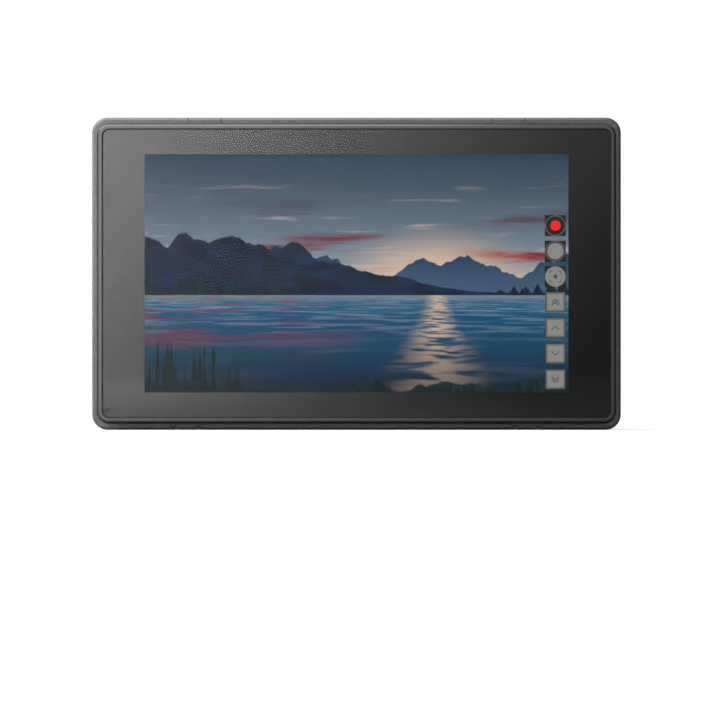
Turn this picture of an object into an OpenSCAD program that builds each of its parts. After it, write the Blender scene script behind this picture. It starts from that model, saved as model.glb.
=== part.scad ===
// Field monitor for a camera: a 5.5 inch touch screen in a slim housing, with six keys, a return key
// and a menu wheel on its top edge, a tripod thread at top and bottom, and a battery plate behind.
// Millimetres. +X is to the right of the screen, the screen faces -Y and +Z is up.
// The origin is the middle of the bottom thread's mouth, on the face that the monitor stands on.

/* [Body] */
// Width of the mid housing
body_w = 152.4; // [151:0.2:170]
// Height of the mid housing
body_h = 90; // [88:0.5:104]
// Depth of the mid housing
mid_d = 14.6; // [14.4:0.2:18]
// Wall of the mid housing
mid_wall = 2; // [1.7:0.1:2.2]
// Corner radius of the mid housing, seen from the front
corner_r = 4.4; // [3.6:0.1:6]
// Bevel along the front edge of the mid housing
edge_bevel = 0.7; // [0.3:0.1:1]
// Thickness of the plate behind the display, which carries the boards
plate_t = 1; // [0.8:0.1:1.4]

/* [Bezel and glass] */
// Depth of the front bezel
bezel_d = 3.8; // [3.6:0.1:4.6]
// How far the bezel stands in from the mid housing at each side
step_x = 1.9; // [1.5:0.1:2.6]
// How far the bezel stands in from the mid housing at top and bottom
step_z = 2.25; // [1.8:0.05:2.6]
// Corner radius of the bezel
bezel_r = 3.1; // [2.6:0.1:4]
// Bevel along the front edge of the bezel
bezel_bevel = 0.45; // [0.2:0.05:0.6]
// Width of the rim around the glass
rim_w = 1.18; // [1:0.02:2]
// Width of the shadow gap between bezel and mid housing
seam_w = 0.45; // [0.3:0.05:0.8]
// Depth of the shadow gap
seam_d = 1; // [0.3:0.1:1.2]
// Thickness of the cover glass
glass_t = 1.1; // [0.7:0.1:1.3]
// How far the glass lies behind the rim
glass_recess = 0.1; // [0.05:0.05:0.3]

/* [Display] */
// Black border at each side of the picture
border_x = 12.02; // [11.2:0.02:17]
// Black border above and below the picture
border_z = 7.1; // [6.4:0.02:10]
// Border of the display panel round the picture
panel_border = 1.55; // [1:0.05:2]
// Thickness of the display panel
lcd_t = 1.4; // [1:0.1:1.6]
// Thickness of the backlight tray
backlight_t = 2.2; // [1.8:0.1:2.4]
// Room round the display in its pocket
panel_gap = 0.8; // [0.5:0.1:1]

/* [Rear cover] */
// Depth of the rear cover behind the mid housing
rear_d = 2.8; // [2.6:0.1:4]
// Thickness of the rear cover
cover_t = 1.8; // [1.5:0.1:2.2]
// How far the rim of the cover slopes in
rim_slope = 0.7; // [0.3:0.1:1.2]
// Bevel along the rear edge of the cover
rear_bevel = 0.8; // [0.4:0.1:1.2]
// Depth of the lip that enters the mid housing
lip_d = 1.5; // [1:0.1:1.8]
// Thickness of the lip
lip_t = 1.2; // [0.8:0.1:1.4]
// Length of a vent slot
vent_l = 16; // [8:1:24]
// Width of a vent slot
vent_w = 1.4; // [0.8:0.1:1.8]
// Vent slots on each side
vent_n = 6; // [3:1:7]

/* [Keys] */
// Radius of a key's round end
key_r = 1.9; // [1.6:0.05:2]
// Distance between the middles of a key's round ends
key_l = 3.44; // [2.6:0.02:3.6]
// Slant of the keys
key_angle = 57; // [45:1:90]
// Middle of the first key, in from the left side
key_in = 12; // [11.2:0.1:14.2]
// Middle of the last key, to the left of the tripod thread
key_out = 22.3; // [21.6:0.1:24]
// How far the keys stand proud
key_proud = 0.15; // [0:0.05:0.5]
// Travel of every key
key_travel = 0.5; // [0.3:0.05:0.7]
// Gap round each key
key_gap = 0.45; // [0.3:0.05:0.5]
// Bevel round each key's opening
key_bevel = 0.35; // [0.2:0.05:0.45]
// Radius of the return key
return_r = 2.88; // [2.4:0.02:3.2]
// Middle of the return key, to the left of the menu wheel
return_in = 18.9; // [18.5:0.1:21.5]

/* [Menu wheel] */
// Middle of the menu wheel, in from the right side
wheel_in = 17.7; // [17.2:0.1:18.2]
// Middle of the menu wheel behind the mid plane
wheel_y = 2.63; // [2.4:0.01:2.7]
// Radius of the menu wheel
wheel_r = 8; // [7.4:0.1:8.2]
// Width of the menu wheel
wheel_w = 5.6; // [5:0.1:5.8]
// How far the wheel stands above the top face
wheel_proud = 0.4; // [0.2:0.1:1]
// Grooves round the wheel
flute_n = 24; // [18:1:30]
// Radius of a groove
flute_r = 0.72; // [0.5:0.02:0.8]
// Length of the opening for the wheel
wheel_slot_l = 11; // [10.8:0.1:11.4]
// Travel of the wheel when it is pressed
wheel_travel = 0.45; // [0.3:0.05:0.6]
// Length of the thumb scoop round the wheel
scoop_l = 18.1; // [16:0.1:19]
// Depth of the thumb scoop
scoop_d = 1.2; // [0.8:0.1:1.3]
// Radius of the wheel's axle
axle_r = 1; // [0.8:0.05:1.2]

/* [Threads and slots] */
// Radius of the tripod thread's hole, a quarter inch with twenty threads
thread_r = 2.6; // [2.55:0.05:2.7]
// Outer radius of the brass insert
insert_r = 3.68; // [3.4:0.02:4]
// Length of the brass insert
insert_l = 7.4; // [6:0.1:7.6]
// Distance from locating hole to locating hole
locate_pitch = 15; // [14:0.5:16]
// Radius of the locating holes
locate_r = 1.65; // [1.4:0.05:1.8]
// Thickness of the steel mount plates
mount_t = 1.5; // [1:0.1:2]
// Length of a sun hood slot
hood_w = 9.4; // [8:0.1:10]
// Middle of the upper hood slots, in from each side
hood_top_in = 32.4; // [28:0.1:36]
// Middle of the lower hood slots, in from each side
hood_low_in = 27.3; // [24:0.1:32]
// How far the upper hood slots reach forward of the seam
hood_reach = 2.9; // [2:0.1:3]

/* [Battery plate] */
// Width of the battery plate
bat_w = 40; // [38:0.5:42]
// Height of the battery plate
bat_h = 60; // [54:1:62]
// How far the battery plate stands out
bat_d = 3; // [2.8:0.1:3.6]
// Thickness of its base
bat_base_t = 1.4; // [1.2:0.1:1.6]
// Travel of the battery release
release_travel = 1.8; // [1:0.1:2]
// Radius of the release button
release_r = 3; // [2.4:0.1:3.2]

/* [Boards and sockets] */
// Height of the main board's lower edge
board_z = 13; // [12.5:0.5:14]
// Thickness of the boards
board_t = 1.2; // [1:0.1:1.6]
// Height of the bosses that carry the main board
boss_h = 1; // [0.8:0.1:1.4]
// Width of an HDMI type A socket's mouth
hdmi_w = 14; // [13.8:0.1:14.2]
// Height of an HDMI type A socket's mouth
hdmi_h = 4.6; // [4.4:0.05:4.7]
// Radius of the headphone socket's hole, for a 3.5 mm plug
phone_r = 1.8; // [1.76:0.01:1.9]
// Radius of the power socket's hole, for a 5.5 mm plug
dc_r = 2.85; // [2.8:0.05:3]

/* [Hidden] */
$fn = 64;

// How far a cut runs past the face that it opens
past = 1;
// Room between pieces that are fastened to each other
fit_gap = 0.02;
// Radial room of a shaft that turns or slides in a bore
run_gap = 0.04;
// Room between the glass and the rim
glass_gap = 0.22;
// Room between the lip of the rear cover and the mid housing
lip_gap = 0.15;
// Room between moving parts that never touch
move_gap = 0.3;
// Room round a screw head in its recess
head_gap = 0.15;
// Room between a screw's tip and the end of its hole
tip_gap = 0.2;

// Thin layers behind the glass
mask_t = 0.15;
bond_t = 0.2;
foam_t = 0.3;
foam_w = 3;
tape_w = 2.4;
tape_t = 0.2;
tape_in = 0.3;

// Depths from front to back
mid_front = -mid_d / 2;
mid_back = mid_d / 2;
front_y = mid_front - bezel_d;
back_y = mid_back + rear_d;
glass_front = front_y + glass_recess;
glass_back = glass_front + glass_t;
mask_back = glass_back + mask_t;
lcd_front = mask_back + bond_t;
lcd_back = lcd_front + lcd_t;
light_back = lcd_back + backlight_t;
plate_front = light_back + foam_t;
plate_back = plate_front + plate_t;
board_front = plate_back + boss_h;
board_back = board_front + board_t;
cover_inner = back_y - cover_t;
post_end = mid_back - lip_d;

// Outlines seen from the front
bezel_w = body_w - 2 * step_x;
bezel_h = body_h - 2 * step_z;
glass_w = bezel_w - 2 * (rim_w + glass_gap);
glass_h = bezel_h - 2 * (rim_w + glass_gap);
glass_r = max(bezel_r - rim_w, 0.8);
screen_w = glass_w - 2 * border_x;
screen_h = glass_h - 2 * border_z;
picture_r = 0.3;
panel_r = 0.5;
pocket_r = 1;
panel_w = screen_w + 2 * panel_border;
panel_h = screen_h + 2 * panel_border;
pocket_w = panel_w + 2 * panel_gap;
pocket_h = panel_h + 2 * panel_gap;
inner_w = body_w - 2 * mid_wall;
inner_h = body_h - 2 * mid_wall;
inner_r = max(corner_r - mid_wall, 0.6);
mid_z = body_h / 2;
bezel_top = body_h - step_z;
notch_w = 24;
notch_h = 2;
notch_d = 0.4;

// Sun hood slots
hood_top_x = body_w / 2 - hood_top_in;
hood_low_x = body_w / 2 - hood_low_in;
hood_drop = 0.4;
hood_lip = 0.9;
hood_lip_d = 0.7;
hood_groove = 0.3;
hood_tongue_drop = 0.1;
hood_under = 1.8;
hood_line_w = 0.25;
hood_line_d = 0.3;
hood_notch_w = 1.4;
hood_notch_h = 1.3;
hood_notch_d = 1.9;

// Screws: shank and head
screw_r = 0.9;
screw_head_r = 1.7;
screw_head_t = 0.8;
screw_bite = 1.6;
cross_w = 0.4;
cross_reach = 0.6;

// Keys and their board
key_n = 6;
key_x = key_in - body_w / 2;
key_pitch = (-key_out - key_x) / (key_n - 1);
key_wall = inner_h + mid_wall;
key_flange = key_gap + 0.4;
key_flange_t = 0.8;
key_seat = 0.1;
key_stem_r = 1.2;
switch_w = 3;
switch_t = 1.5;
switch_cap_r = 0.8;
switch_cap_h = 0.4;
switch_gap = key_travel + 0.05;
key_flange_z = key_wall - key_seat - key_flange_t;
stem_l = 0.6;
switch_top = key_flange_z - stem_l - switch_gap;
key_board_top = switch_top - switch_t;
key_board_front = plate_back + 0.35;
key_board_back = 5;
key_post_r = 1.7;
key_post_gap = 2.2;
key_reach = key_r + key_flange + key_l / 2 * cos(key_angle);
wheel_x = body_w / 2 - wheel_in;
return_x = wheel_x - return_in;
key_post_x = [key_x - key_reach - key_post_gap, key_x + (key_n - 1) * key_pitch + key_reach + key_post_gap];
return_post_x = [return_x - return_r - key_flange - key_post_gap, return_x + return_r + key_flange + key_post_gap];
key_board_edge = 1.9;

// Menu wheel and what carries it
wheel_z = body_h + wheel_proud - wheel_r;
wheel_front = wheel_y - wheel_w / 2;
wheel_back = wheel_y + wheel_w / 2;
wheel_side_gap = 0.25;
wheel_edge = 0.35;
flute_out = 0.35;
cheek_t = 0.8;
cheek_w = 6.4;
cheek_up = 3;
cheek_gap = 0.3;
web_drop = 0.9;
web_t = 1.2;
web_w = 17;
guide_x = 6.6;
guide_r = 0.9;
guide_up = 1.4;
web_z = wheel_z - wheel_r - web_drop - web_t;
wheel_switch_t = 2.1;
wheel_switch_w = 5;
wheel_switch_cap_r = 1.3;
wheel_switch_cap_h = 0.6;
press_gap = 0.1;
shelf_t = 1.2;
shelf_z = web_z - wheel_travel - press_gap - wheel_switch_t - shelf_t;
bracket_t = 1;
bracket_w = 18;
bracket_h = 8;
bracket_screw_x = 6;
bracket_screw_z = shelf_z - 4;
encoder_w = 7;
encoder_t = 2;
encoder_drop = 0.6;
encoder_skin = 0.5;
scoop_front = -1.4;
scoop_back = mid_back - 0.4;
scoop_rise = 1.1;
scoop_pad_t = 0.8;

// Mount plates
mount_screw_out = 4;
mount_end = 2.5;
mount_screw_x = locate_pitch / 2 + mount_screw_out;
mount_l = 2 * (mount_screw_x + mount_end);
mount_w = 8;
collar_r = insert_r + 0.7;
collar_t = insert_l - mid_wall - mount_t;

// Rear posts and their screws, across and up
post_r = 2.4;
post_x = body_w / 2 - 5.2;
post_low = 5.5;
post_drop = 18;
post_high = body_h - post_drop;
post_mid_x = 30;
posts = [[-post_x, post_low], [post_x, post_low], [-post_x, post_high], [post_x, post_high],
         [-post_mid_x, post_low], [post_mid_x, post_low]];
post_bite = 6;
post_root = 0.4;
rear_head_r = 1.9;
rear_head_t = 1;
rear_head_in = 0.1;

// Screws from the mid housing into the bezel
bezel_screw_out = 6.6;
bezel_screw_low = 10.2;
bezel_screw_mid = post_high - 7;
bezel_screw_high = body_h - 11;
bezel_screws_at = [for (side = [-1, 1], z = [bezel_screw_low, bezel_screw_mid, bezel_screw_high])
    [side * (pocket_w / 2 + bezel_screw_out), z]];
bezel_skin = 0.5;
bezel_hole_front = mask_back + tape_t + bezel_skin;

// Main board and what stands on it
board_edge = 1.2;
board_w = inner_w - 2 * board_edge;
board_gap = 0.45;
board_top = shelf_z - bracket_h - board_gap;
board_screw_in = 3.6;
board_screw_side = 12.5;
board_screws_at = [for (x = [-1, 1], z = [board_z + board_screw_in, board_top - board_screw_in])
    [x * (board_w / 2 - board_screw_side), z]];
boss_r = 2.2;
chip_t = 1.2;
chip_w = 14;
chip_row_in = 18;
chip_row_z = board_top - chip_row_in;
low_row_in = 6.5;
low_row_z = board_z + low_row_in;
memory_x = 17;
memory_w = 10;
memory_h = 12;
receiver_x = 48;
receiver_w = 9;
coil_x = 44;
coil_w = 6;
coil_t = 3;
power_chip_w = 7;
small_w = 5;
small_t = 1.6;
cap_x = 36;
cap_t = 2.4;
pad_t = 0.5;
pad_w = 48;
pad_h = 14;
spreader_t = 1.2;
spreader_w = 64;
spreader_h = 26;
spreader_z = chip_row_z;
leg_r = 1.8;
leg_in = 3;
leg_y = board_back + chip_t + pad_t;
spreader_legs = [for (x = [-1, 1], z = [-1, 1])
    [x * (spreader_w / 2 - leg_in), spreader_z + z * (spreader_h / 2 - leg_in)]];

// Sockets, by their middles: across the depth and up
socket_y = board_back + 3;
socket_in = 0.3;
socket_gap = 0.12;
shell_t = 0.5;
hdmi_depth = 11;
hdmi_room = shell_t + socket_gap;
hdmi_pitch = 20;
hdmi_in_z = (board_z + board_top) / 2 + hdmi_pitch / 2;
hdmi_out_z = hdmi_in_z - hdmi_pitch;
hdmi_skirt = 1;
hdmi_tongue_t = 1.6;
hdmi_tongue_w = 11;
hdmi_tongue_in = 1.5;
socket_floor_t = 1.5;
usb_w = 8.4;
usb_h = 2.7;
usb_depth = 7.4;
usb_y = board_back + usb_h / 2 + shell_t;
usb_tongue_t = 0.7;
usb_tongue_w = 6.4;
usb_tongue_in = 1;
usb_room = 2 * (shell_t + socket_gap);
side_gap = 0.3;
nose_bite = 0.2;
phone_z = board_z + 13;
phone_body = 6;
phone_depth = 12;
phone_nose_r = phone_r + 0.8;
dc_z = board_top - 6;
dc_body = 8.6;
dc_body_t = 6.8;
dc_depth = 11;
dc_y = board_back + dc_body_t / 2;
dc_nose_r = dc_r + 0.4;
dc_pin_r = 1.05;
dc_pin_in = 0.8;
usb_z = (phone_z + phone_body / 2 + dc_z - dc_body / 2) / 2;

// Flat cables
flex_t = 0.2;
flex_tab = 3;
flex_room = 0.5;
flex_slot_h = 1;
display_flex_w = 36;
display_flex_drop = 0.4;
display_flex_z = mid_z - panel_h / 2 - display_flex_drop;
key_flex_x = key_x + (key_n - 1) * key_pitch / 2;
key_flex_w = 8;
key_flex_low = board_top - 8;
return_flex_w = 5;

// Vents in the rear cover
vent_in = 14;
vent_gap = 2;

// Battery plate
bat_z = mid_z;
bat_r = 3;
rail_w = 3;
hook_w = 1.2;
hook_t = 1;
hook_l = 9;
hook_in = 6;
hook_up = 2;
bat_back = back_y + bat_d;
bat_base = back_y + bat_base_t;
bat_screw_in = 8;
bat_screws_at = [for (x = [-1, 1], z = [-1, 1])
    [x * (bat_w / 2 - rail_w - 3), bat_z + z * (bat_h / 2 - bat_screw_in)]];
bat_head_t = 0.7;
bat_skin = 0.2;
contact_w = 18;
contact_h = 5;
contact_low = bat_z - bat_h / 2 + 2;
blade_w = 1;
blade_t = 0.6;
blade_l = 5;
blade_pitch = 6;
blade_y = bat_base + 0.9;
power_flex_w = 10;
power_flex_z = board_z + 5;
power_tab = 4;

// Battery release and its spring
release_x = bat_w / 2 + release_r + 3;
release_up = 15;
release_z = bat_z - bat_h / 2 + release_up;
release_proud = 0.8;
release_gap = 0.25;
release_flange = 0.9;
release_flange_t = 0.8;
release_arm_w = 4;
catch_x = bat_w / 2 - rail_w - 5;
catch_w = 3;
catch_up = 1.1;
release_seat = cover_inner - 0.1;
leaf_t = 0.3;
leaf_w = 3;
leaf_gap = 0.1;
leaf_y = release_seat - release_flange_t - release_travel - leaf_gap;
leaf_post_x = release_x + release_r + release_flange + 4;
leaf_post_r = 2.2;
leaf_in = 2;

// A rectangle with round corners
module round_rect(w, h, r) {
    square([w - 2 * r, h], center = true);
    square([w, h - 2 * r], center = true);
    for (x = [-1, 1], y = [-1, 1])
        translate([x * (w / 2 - r), y * (h / 2 - r)])
            circle(r = r);
}

// A block with round corners whose sides step in: each step is how far in and how far up
module lean_block(w, h, r, steps) {
    last = len(steps) - 1;
    for (x = [-1, 1], y = [-1, 1])
        translate([x * (w / 2 - r), y * (h / 2 - r), 0])
            rotate_extrude()
                polygon(concat([[0, 0]], [for (s = steps) [r - s[0], s[1]]], [[0, steps[last][1]]]));
    rotate([90, 0, 90])
        linear_extrude(w - 2 * r, center = true)
            lean_section(h, steps);
    rotate([90, 0, 0])
        linear_extrude(h - 2 * r, center = true)
            lean_section(w, steps);
}

// Section of such a block, w wide
module lean_section(w, steps) {
    last = len(steps) - 1;
    polygon(concat([for (s = steps) [w / 2 - s[0], s[1]]],
        [for (i = [last : -1 : 0]) [steps[i][0] - w / 2, steps[i][1]]]));
}

// Draws in the plane of the screen, round its middle, and builds forwards from depth y
module forwards(y) {
    translate([0, y, mid_z])
        rotate([90, 0, 0])
            children();
}

// Draws in the plane of the screen, round its middle, and builds backwards from depth y
module backwards(y) {
    translate([0, y, mid_z])
        rotate([90, 0, 0])
            mirror([0, 0, 1])
                children();
}

// A plate with round corners between two depths
module plate(w, h, r, from, to) {
    backwards(from)
        linear_extrude(to - from)
            round_rect(w, h, r);
}

// A frame with round corners between two depths
module frame(w, h, r, in_w, in_h, in_r, from, to) {
    backwards(from)
        linear_extrude(to - from)
            difference() {
                round_rect(w, h, r);
                round_rect(in_w, in_h, in_r);
            }
}

// A box by its lowest and highest corners
module box(low, high) {
    translate(low)
        cube(high - low);
}

// A rod along the depth, at x across and z up
module rod_y(x, z, r, from, to) {
    translate([x, from, z])
        rotate([-90, 0, 0])
            cylinder(r = r, h = to - from);
}

// A rod along the width
module rod_x(y, z, r, from, to) {
    translate([from, y, z])
        rotate([0, 90, 0])
            cylinder(r = r, h = to - from);
}

// A screw along the depth with its head behind: seat is where the head rests, tip is the end
module screw_y(x, z, seat, tip, head_r = screw_head_r, head_t = screw_head_t) {
    difference() {
        union() {
            rod_y(x, z, screw_r, tip, seat);
            rod_y(x, z, head_r, seat, seat + head_t);
        }
        translate([x, seat + head_t, z]) {
            cube([2 * cross_reach * head_r, head_t, cross_w], center = true);
            cube([cross_w, head_t, 2 * cross_reach * head_r], center = true);
        }
    }
}

// A screw that points up, with its head below
module screw_up(x, y, seat, tip) {
    translate([x, y, seat - screw_head_t])
        cylinder(r = screw_head_r, h = screw_head_t);
    translate([x, y, seat])
        cylinder(r = screw_r, h = tip - seat);
}

// Outline of a slanted key, from above
module key_shape(r) {
    rotate(key_angle) {
        square([key_l, 2 * r], center = true);
        for (end = [-1, 1])
            translate([end * key_l / 2, 0])
                circle(r = r);
    }
}

// A slanted key's outline that widens upwards by c
module key_funnel(r, c) {
    rotate([0, 0, key_angle]) {
        for (end = [-1, 1])
            translate([end * key_l / 2, 0, 0])
                cylinder(r1 = r, r2 = r + c, h = c);
        rotate([90, 0, 90])
            linear_extrude(key_l, center = true)
                polygon([[-r, 0], [r, 0], [r + c, c], [-r - c, c]]);
    }
}

module front_bezel() {
    color("dimgray")
        difference() {
            forwards(mid_front)
                lean_block(bezel_w, bezel_h, bezel_r, [[0, 0], [0, bezel_d - bezel_bevel], [bezel_bevel, bezel_d]]);
            plate(glass_w + 2 * glass_gap, glass_h + 2 * glass_gap, glass_r + glass_gap,
                front_y - past, mask_back + tape_t);
            plate(pocket_w, pocket_h, pocket_r, front_y - past, mid_front + past);
            for (side = [-1, 1])
                hood_recess(side * hood_top_x);
            for (at = bezel_screws_at)
                rod_y(at[0], at[1], screw_r + fit_gap, bezel_hole_front, mid_front + past);
        }
}

// Where a sun hood's clip goes in on top: a deep part at the seam and a groove round a tongue
module hood_recess(x) {
    box([x - hood_w / 2, mid_front - hood_lip, bezel_top - hood_lip_d],
        [x + hood_w / 2, mid_front + past, bezel_top + past]);
    difference() {
        box([x - hood_w / 2, mid_front - hood_reach, bezel_top - hood_drop],
            [x + hood_w / 2, mid_front + past, bezel_top + past]);
        box([x - hood_w / 2 + hood_groove, mid_front - hood_reach + hood_groove, bezel_top - hood_drop - past],
            [x + hood_w / 2 - hood_groove, mid_front + 2 * past, bezel_top - hood_tongue_drop]);
    }
}

module cover_glass() {
    color([0.02, 0.02, 0.02, 0.6])
        plate(glass_w, glass_h, glass_r, glass_front, glass_back);
}

module border_mask() {
    color("black")
        frame(glass_w, glass_h, glass_r, screen_w, screen_h, picture_r, glass_back, mask_back);
}

module glass_tape() {
    color([0.12, 0.12, 0.12])
        frame(glass_w - 2 * tape_in, glass_h - 2 * tape_in, glass_r,
            glass_w - 2 * (tape_in + tape_w), glass_h - 2 * (tape_in + tape_w), panel_r,
            mask_back, mask_back + tape_t);
}

module bond_sheet() {
    color([0.9, 0.9, 0.95, 0.4]) {
        plate(panel_w, panel_h, panel_r, mask_back, lcd_front);
        plate(screen_w, screen_h, picture_r, glass_back, mask_back);
    }
}

module lcd_panel() {
    color([0.1, 0.2, 0.3])
        plate(panel_w, panel_h, panel_r, lcd_front, lcd_back);
}

module backlight_tray() {
    color("silver")
        difference() {
            plate(panel_w, panel_h, panel_r, lcd_back, light_back);
            for (side = [-1, 1])
                box([side * panel_w / 4 - notch_w / 2, light_back - notch_d, mid_z - panel_h / 2 - past],
                    [side * panel_w / 4 + notch_w / 2, light_back + past, mid_z - panel_h / 2 + notch_h]);
        }
}

module panel_foam() {
    color([0.1, 0.1, 0.1])
        frame(panel_w, panel_h, panel_r, panel_w - 2 * foam_w, panel_h - 2 * foam_w, panel_r,
            light_back, plate_front);
}

module bezel_screws() {
    color("silver")
        for (at = bezel_screws_at)
            screw_y(at[0], at[1], plate_back, bezel_hole_front + tip_gap);
}

// What the mid housing is cut from: its outside and the plate behind the display
module mid_block() {
    difference() {
        forwards(mid_back)
            lean_block(body_w, body_h, corner_r, [[0, 0], [0, mid_d - edge_bevel], [edge_bevel, mid_d]]);
        plate(inner_w, inner_h, inner_r, plate_back, mid_back + past);
        plate(pocket_w, pocket_h, pocket_r, mid_front - past, plate_front);
        frame(bezel_w + 2 * seam_w, bezel_h + 2 * seam_w, bezel_r + seam_w,
            bezel_w, bezel_h, bezel_r, mid_front - past, mid_front + seam_d);
    }
}

// Posts, bosses and pads inside the mid housing
module mid_bosses() {
    for (at = posts)
        rod_y(at[0], at[1], post_r, plate_back, post_end);
    for (at = board_screws_at)
        rod_y(at[0], at[1], boss_r, plate_back, board_front);
    for (side = [-1, 1])
        rod_y(wheel_x + side * bracket_screw_x, bracket_screw_z, boss_r, plate_back, board_front);
    for (x = concat(key_post_x, return_post_x))
        translate([x, 0, key_board_top])
            cylinder(r = key_post_r, h = key_wall - key_board_top);
    box([wheel_x - wheel_slot_l, plate_back, key_wall - scoop_pad_t],
        [wheel_x + wheel_slot_l, mid_back - lip_d - move_gap, key_wall]);
}

// The thumb scoop: a shallow trough along the depth with a sloped rear end
module thumb_scoop() {
    scoop_r = (pow(scoop_l / 2, 2) + pow(scoop_d, 2)) / (2 * scoop_d);
    intersection() {
        rod_y(wheel_x, body_h - scoop_d + scoop_r, scoop_r, scoop_front, scoop_back);
        translate([wheel_x - scoop_l, 0, body_h])
            rotate([90, 0, 90])
                linear_extrude(2 * scoop_l)
                    polygon([[scoop_front, past], [scoop_front, -scoop_d - past],
                        [scoop_back - scoop_rise, -scoop_d - past], [scoop_back - scoop_rise, -scoop_d],
                        [scoop_back, 0], [scoop_back, past]]);
    }
}

// Openings through the top wall
module top_cuts() {
    for (i = [0 : key_n - 1])
        translate([key_x + i * key_pitch, 0, 0]) {
            translate([0, 0, key_wall - past])
                linear_extrude(mid_wall + 2 * past)
                    key_shape(key_r + key_gap);
            translate([0, 0, body_h - key_bevel])
                key_funnel(key_r + key_gap, key_bevel);
        }
    translate([return_x, 0, key_wall - past])
        cylinder(r = return_r + key_gap, h = mid_wall + 2 * past);
    translate([return_x, 0, body_h - key_bevel])
        cylinder(r1 = return_r + key_gap, r2 = return_r + key_gap + key_bevel, h = key_bevel);
    thumb_scoop();
    box([wheel_x - wheel_slot_l / 2, wheel_front - wheel_side_gap, key_wall - scoop_pad_t - past],
        [wheel_x + wheel_slot_l / 2, wheel_back + wheel_side_gap, body_h + past]);
    rod_y(wheel_x, wheel_z, wheel_r + move_gap, wheel_front - wheel_side_gap, wheel_back + wheel_side_gap);
}

// Holes of a tripod mount, drawn as on the bottom face
module mount_cuts() {
    translate([0, 0, -past])
        cylinder(r = insert_r + fit_gap, h = mid_wall + 2 * past);
    for (side = [-1, 1]) {
        translate([side * locate_pitch / 2, 0, -past])
            cylinder(r = locate_r, h = mid_wall + 2 * past);
        translate([side * mount_screw_x, 0, mid_wall - screw_bite])
            cylinder(r = screw_r + fit_gap, h = screw_bite + past);
    }
}

// Draws on the top face what its children draw on the bottom face
module on_top() {
    translate([0, 0, body_h])
        mirror([0, 0, 1])
            children();
}

// Openings for the sockets in the side walls
module socket_cuts() {
    for (z = [hdmi_in_z, hdmi_out_z])
        box([-body_w / 2 - past, socket_y - hdmi_h / 2 - hdmi_room, z - hdmi_w / 2 - hdmi_room],
            [-inner_w / 2 + past, socket_y + hdmi_h / 2 + hdmi_room, z + hdmi_w / 2 + hdmi_room]);
    translate([inner_w / 2 - past, usb_y, usb_z])
        rotate([0, 90, 0])
            linear_extrude(mid_wall + 2 * past)
                round_rect(usb_w + usb_room, usb_h + usb_room, (usb_h + usb_room) / 2 - 0.05);
    rod_x(socket_y, phone_z, phone_nose_r + socket_gap, inner_w / 2 - past, body_w / 2 + past);
    rod_x(dc_y, dc_z, dc_nose_r + socket_gap, inner_w / 2 - past, body_w / 2 + past);
}

// Slots for the clips of a sun hood, in the front edge of the mid housing
module hood_cuts() {
    for (side = [-1, 1]) {
        box([side * hood_top_x - hood_w / 2, mid_front - past, bezel_top - hood_drop],
            [side * hood_top_x + hood_w / 2, mid_front + hood_under, bezel_top + seam_w]);
        for (end = [-1, 1]) {
            translate([side * hood_top_x + end * hood_w / 2 - hood_line_w / 2, mid_front - past, bezel_top])
                cube([hood_line_w, past + hood_line_d + edge_bevel, step_z + past]);
            translate([side * hood_low_x + end * hood_w / 2 - hood_line_w / 2, mid_front - past, -past])
                cube([hood_line_w, past + hood_line_d + edge_bevel, step_z + past]);
            translate([side * hood_low_x + end * (hood_w / 2 - hood_notch_w) - hood_notch_w / 2,
                mid_front - past, -past])
                cube([hood_notch_w, past + hood_notch_d, past + hood_notch_h]);
        }
    }
}

module mid_housing() {
    color([0.3, 0.3, 0.31])
        difference() {
            union() {
                mid_block();
                mid_bosses();
            }
            top_cuts();
            mount_cuts();
            on_top()
                mount_cuts();
            socket_cuts();
            hood_cuts();
            for (at = posts)
                rod_y(at[0], at[1], screw_r + fit_gap, post_end - post_bite, post_end + past);
            for (at = board_screws_at)
                rod_y(at[0], at[1], screw_r + fit_gap, board_front - screw_bite, board_front + past);
            for (side = [-1, 1])
                rod_y(wheel_x + side * bracket_screw_x, bracket_screw_z, screw_r + fit_gap,
                    board_front - screw_bite, board_front + past);
            for (at = bezel_screws_at)
                rod_y(at[0], at[1], screw_r + fit_gap, mid_front - past, plate_back + past);
            for (x = concat(key_post_x, return_post_x))
                translate([x, 0, key_board_top - past])
                    cylinder(r = screw_r + fit_gap, h = past + screw_bite);
            box([-display_flex_w / 2 - flex_room, plate_front - past, mid_z - pocket_h / 2],
                [display_flex_w / 2 + flex_room, plate_back + past, mid_z - pocket_h / 2 + flex_slot_h]);
        }
}

// Brass insert of a tripod thread, drawn as on the bottom face, its collar behind the mount plate
module thread_insert() {
    color("gold")
        difference() {
            union() {
                cylinder(r = insert_r, h = insert_l);
                translate([0, 0, mid_wall + mount_t])
                    cylinder(r = collar_r, h = collar_t);
            }
            translate([0, 0, -past])
                cylinder(r = thread_r, h = insert_l + 2 * past);
        }
}

module top_thread_insert() {
    on_top()
        thread_insert();
}

module bottom_thread_insert() {
    thread_insert();
}

// Steel plate of a tripod mount, drawn as on the bottom face
module mount_plate() {
    color("lightgray")
        difference() {
            translate([0, 0, mid_wall])
                linear_extrude(mount_t)
                    round_rect(mount_l, mount_w, 1);
            translate([0, 0, mid_wall - past])
                cylinder(r = insert_r + fit_gap, h = mount_t + 2 * past);
            for (side = [-1, 1])
                translate([side * mount_screw_x, 0, mid_wall - past])
                    cylinder(r = screw_r + fit_gap, h = mount_t + 2 * past);
        }
}

module top_mount_plate() {
    on_top()
        mount_plate();
}

module bottom_mount_plate() {
    mount_plate();
}

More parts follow.
